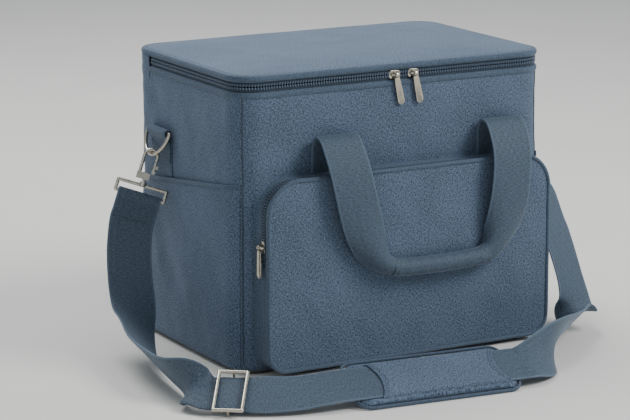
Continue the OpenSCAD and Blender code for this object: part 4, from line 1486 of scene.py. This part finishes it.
def build_sliders():
    """Both main sliders and both pocket sliders, each with its pull."""
    coil_y = LOWER_ZIP_LOW.y
    jobs = []
    for side in ("left", "right"):
        low, high = cad_mm("main_slider_" + side)
        place = Matrix.Translation(at((low.x + high.x) / 2, coil_y, ZIP_Z))
        bar = Matrix.Translation(at((low.x + high.x) / 2, coil_y - BAR_OUT, ZIP_Z))
        jobs.append(("main", side, 2.0, 0, place, bar, PULL_ASIDE))
    for side, sign in (("left", -1), ("right", 1)):
        low, high = cad_mm("pocket_slider_" + side)
        z = (low.z + high.z) / 2
        x = POCKET_X + sign * (POCKET_HALF_W + 0.4)
        flip = Matrix.Diagonal((-sign, 1, 1, 1))
        turn = (Matrix.Rotation(math.radians(-90), 4, "Y")
                @ Matrix.Rotation(math.radians(-90), 4, "X"))
        place = Matrix.Translation(at(x, -HALF_D - POCKET_COIL, z)) @ flip @ turn
        bar = (Matrix.Translation(at(x + sign * BAR_OUT, -HALF_D - POCKET_COIL, z))
               @ flip @ Matrix.Rotation(math.radians(90), 4, "Z"))
        jobs.append(("pocket", side, 2.3, 90, place, bar, 0))
    for kind, side, coil_t, bridge, place, bar, aside in jobs:
        name = "%s_slider_%s" % (kind, side)
        body = piece(slider_shape(coil_t, bridge, place), name + "_cast", NICKEL,
                     roll=0.35, sharp=50)
        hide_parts(name)
        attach(body, name)
        name = "%s_pull_%s" % (kind, side)
        pull = piece(pull_shape(aside, bar), name + "_cast", NICKEL,
                     roll=0.28, sharp=50)
        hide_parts(name)
        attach(pull, name)


def finish_metal():
    """Materials of the CAD pieces that stay as they are."""
    kept = {
        NICKEL: ["strap_ring_left", "strap_ring_right", "snap_hook_left", "snap_hook_right",
                 "hook_gate_left", "hook_gate_right", "wire_loop_left", "wire_loop_right",
                 "slide_adjuster"],
        FOAM: ["wall_foam", "floor_foam", "lid_foam"],
        BOARD: ["base_board"],
    }
    for material, names in kept.items():
        for name in names:
            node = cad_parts[name]
            node.data.materials.clear()
            node.data.materials.append(material)
            node.data.shade_smooth()
            node.data.set_sharp_from_angle(angle=math.radians(32))


# ---- stage ----

# Where the camera and the lamps look, in metres, and the lens on a 36 mm sensor.
CAMERA_AIM = (-0.0309, 0, 0.143)
LAMP_AIM = (0, 0, 0.15)
SENSOR_W = 36
LENS = 148.57


def build_stage():
    """The camera, a plain pale floor and soft studio light."""
    studio = bpy.context.scene.cooler_studio
    camera = bpy.data.objects.new("camera", bpy.data.cameras.new("camera"))
    bpy.context.scene.collection.objects.link(camera)
    az, el = studio.camera_azimuth, studio.camera_elevation
    back = Vector((math.sin(az) * math.cos(el), -math.cos(az) * math.cos(el), math.sin(el)))
    camera.location = Vector(CAMERA_AIM) + back * studio.camera_distance
    camera.rotation_euler = back.to_track_quat("Z", "Y").to_euler()
    camera.data.sensor_width = SENSOR_W
    camera.data.lens = LENS
    bpy.context.scene.camera = camera

    bm = bmesh.new()
    bmesh.ops.create_grid(bm, x_segments=8, y_segments=8, size=6)
    bmesh.ops.translate(bm, vec=(0, 0, cad_box[0][2] - 0.0002), verts=bm.verts)
    mesh = bpy.data.meshes.new("floor")
    bm.to_mesh(mesh)
    bm.free()
    floor = bpy.data.objects.new("floor", mesh)
    bpy.context.scene.collection.objects.link(floor)
    mesh.materials.append(PLASTER)
    floor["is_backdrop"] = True

    lights = (
        ("key_light", (1.5, -1.7, 2.0), 1.4, studio.key_power),
        ("top_light", (-0.2, 1.2, 2.3), 1.8, studio.top_power),
        ("fill_light", (-2.6, -1.8, 1.0), 1.6, studio.key_power * 0.1),
    )
    for name, place, size, power in lights:
        data = bpy.data.lights.new(name, "AREA")
        data.shape = "DISK"
        data.size = size
        data.energy = power
        lamp = bpy.data.objects.new(name, data)
        bpy.context.scene.collection.objects.link(lamp)
        lamp.location = place
        away = Vector(place) - Vector(LAMP_AIM)
        lamp.rotation_euler = away.to_track_quat("Z", "Y").to_euler()
    world = bpy.data.worlds.new("studio")
    bpy.context.scene.world = world
    world.use_nodes = True
    sky = world.node_tree.nodes["Background"]
    sky.inputs["Color"].default_value = linear("#dfe7ef")
    sky.inputs["Strength"].default_value = studio.sky_strength


# ---- the add-on ----


class OBJECT_OT_cooler_stage(bpy.types.Operator):
    """Add the camera, the floor and the lights"""

    bl_idname = "object.cooler_stage"
    bl_label = "Stage"

    def execute(self, context):
        build_stage()
        return {"FINISHED"}


class OBJECT_OT_cooler_cover(bpy.types.Operator):
    """Add the body's woven cover and its corner seams"""

    bl_idname = "object.cooler_cover"
    bl_label = "Cover"

    def execute(self, context):
        build_cover()
        return {"FINISHED"}


class OBJECT_OT_cooler_rims(bpy.types.Operator):
    """Add the rolled edges of the body and the lid"""

    bl_idname = "object.cooler_rims"
    bl_label = "Rim rolls"

    def execute(self, context):
        build_rims()
        return {"FINISHED"}


class OBJECT_OT_cooler_main_zip(bpy.types.Operator):
    """Add the tapes and teeth of the zip round the lid"""

    bl_idname = "object.cooler_main_zip"
    bl_label = "Main zip"

    def execute(self, context):
        build_main_zip()
        return {"FINISHED"}


class OBJECT_OT_cooler_lid(bpy.types.Operator):
    """Add the lid's domed cloth and its stitching"""

    bl_idname = "object.cooler_lid"
    bl_label = "Lid"

    def execute(self, context):
        build_lid()
        return {"FINISHED"}


class OBJECT_OT_cooler_lining(bpy.types.Operator):
    """Add the foil linings and the rim binding"""

    bl_idname = "object.cooler_lining"
    bl_label = "Lining"

    def execute(self, context):
        build_lining()
        return {"FINISHED"}


class OBJECT_OT_cooler_pocket(bpy.types.Operator):
    """Add the front pocket with its zip and piping"""

    bl_idname = "object.cooler_pocket"
    bl_label = "Front pocket"

    def execute(self, context):
        build_pocket()
        return {"FINISHED"}


class OBJECT_OT_cooler_side_pockets(bpy.types.Operator):
    """Add the slip pocket on each side"""

    bl_idname = "object.cooler_side_pockets"
    bl_label = "Side pockets"

    def execute(self, context):
        build_side_pockets()
        return {"FINISHED"}


class OBJECT_OT_cooler_ring_tabs(bpy.types.Operator):
    """Add the webbing tabs that hold the strap rings"""

    bl_idname = "object.cooler_ring_tabs"
    bl_label = "Ring tabs"

    def execute(self, context):
        build_ring_tabs()
        return {"FINISHED"}


class OBJECT_OT_cooler_handles(bpy.types.Operator):
    """Add both carry handles"""

    bl_idname = "object.cooler_handles"
    bl_label = "Handles"

    def execute(self, context):
        build_handles()
        return {"FINISHED"}


class OBJECT_OT_cooler_strap(bpy.types.Operator):
    """Add the webbing of the shoulder strap"""

    bl_idname = "object.cooler_strap"
    bl_label = "Shoulder strap"

    def execute(self, context):
        build_strap()
        return {"FINISHED"}


class OBJECT_OT_cooler_strap_ends(bpy.types.Operator):
    """Add the folded and sewn ends of the strap"""

    bl_idname = "object.cooler_strap_ends"
    bl_label = "Strap ends"

    def execute(self, context):
        build_strap_ends()
        return {"FINISHED"}


class OBJECT_OT_cooler_adjuster_loop(bpy.types.Operator):
    """Add the strap's loop round the slide adjuster"""

    bl_idname = "object.cooler_adjuster_loop"
    bl_label = "Adjuster loop"

    def execute(self, context):
        build_adjuster_loop()
        return {"FINISHED"}


class OBJECT_OT_cooler_pad(bpy.types.Operator):
    """Add the shoulder pad and its sleeve"""

    bl_idname = "object.cooler_pad"
    bl_label = "Shoulder pad"

    def execute(self, context):
        build_pad()
        return {"FINISHED"}


class OBJECT_OT_cooler_sliders(bpy.types.Operator):
    """Add the zip sliders and their pulls"""

    bl_idname = "object.cooler_sliders"
    bl_label = "Zip sliders"

    def execute(self, context):
        build_sliders()
        return {"FINISHED"}


class OBJECT_OT_cooler_metal(bpy.types.Operator):
    """Give the kept hardware, foam and board their materials"""

    bl_idname = "object.cooler_metal"
    bl_label = "Metal finish"

    def execute(self, context):
        finish_metal()
        return {"FINISHED"}


OPERATORS = (
    OBJECT_OT_cooler_stage,
    OBJECT_OT_cooler_cover,
    OBJECT_OT_cooler_rims,
    OBJECT_OT_cooler_main_zip,
    OBJECT_OT_cooler_lid,
    OBJECT_OT_cooler_lining,
    OBJECT_OT_cooler_pocket,
    OBJECT_OT_cooler_side_pockets,
    OBJECT_OT_cooler_ring_tabs,
    OBJECT_OT_cooler_handles,
    OBJECT_OT_cooler_strap,
    OBJECT_OT_cooler_strap_ends,
    OBJECT_OT_cooler_adjuster_loop,
    OBJECT_OT_cooler_pad,
    OBJECT_OT_cooler_sliders,
    OBJECT_OT_cooler_metal,
)


class VIEW3D_PT_cooler_bag(bpy.types.Panel):
    """Lists the bag's pieces and their settings"""

    bl_idname = "VIEW3D_PT_cooler_bag"
    bl_label = "Cooler Bag"
    bl_space_type = "VIEW_3D"
    bl_region_type = "UI"
    bl_category = "Cooler Bag"

    def draw(self, context):
        for group in (context.scene.cooler_cloth, context.scene.cooler_studio):
            column = self.layout.column(align=True)
            for key in group.bl_rna.properties.keys():
                if key not in {"rna_type", "name"}:
                    column.prop(group, key)
        column = self.layout.column(align=True)
        for operator in OPERATORS:
            column.operator(operator.bl_idname)


CLASSES = (CoolerClothSettings, CoolerStudioSettings, *OPERATORS, VIEW3D_PT_cooler_bag)


def register():
    for cls in CLASSES:
        bpy.utils.register_class(cls)
    bpy.types.Scene.cooler_cloth = bpy.props.PointerProperty(type=CoolerClothSettings)
    bpy.types.Scene.cooler_studio = bpy.props.PointerProperty(type=CoolerStudioSettings)


def unregister():
    del bpy.types.Scene.cooler_studio
    del bpy.types.Scene.cooler_cloth
    for cls in reversed(CLASSES):
        bpy.utils.unregister_class(cls)


def main():
    register()
    for operator in OPERATORS:
        group, name = operator.bl_idname.split(".")
        getattr(getattr(bpy.ops, group), name)()
    boxes = {"cad": cad_box, "visual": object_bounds()}
    plain = {key: [[float(value) for value in corner] for corner in box]
             for key, box in boxes.items()}


if __name__ == "__main__":
    main()
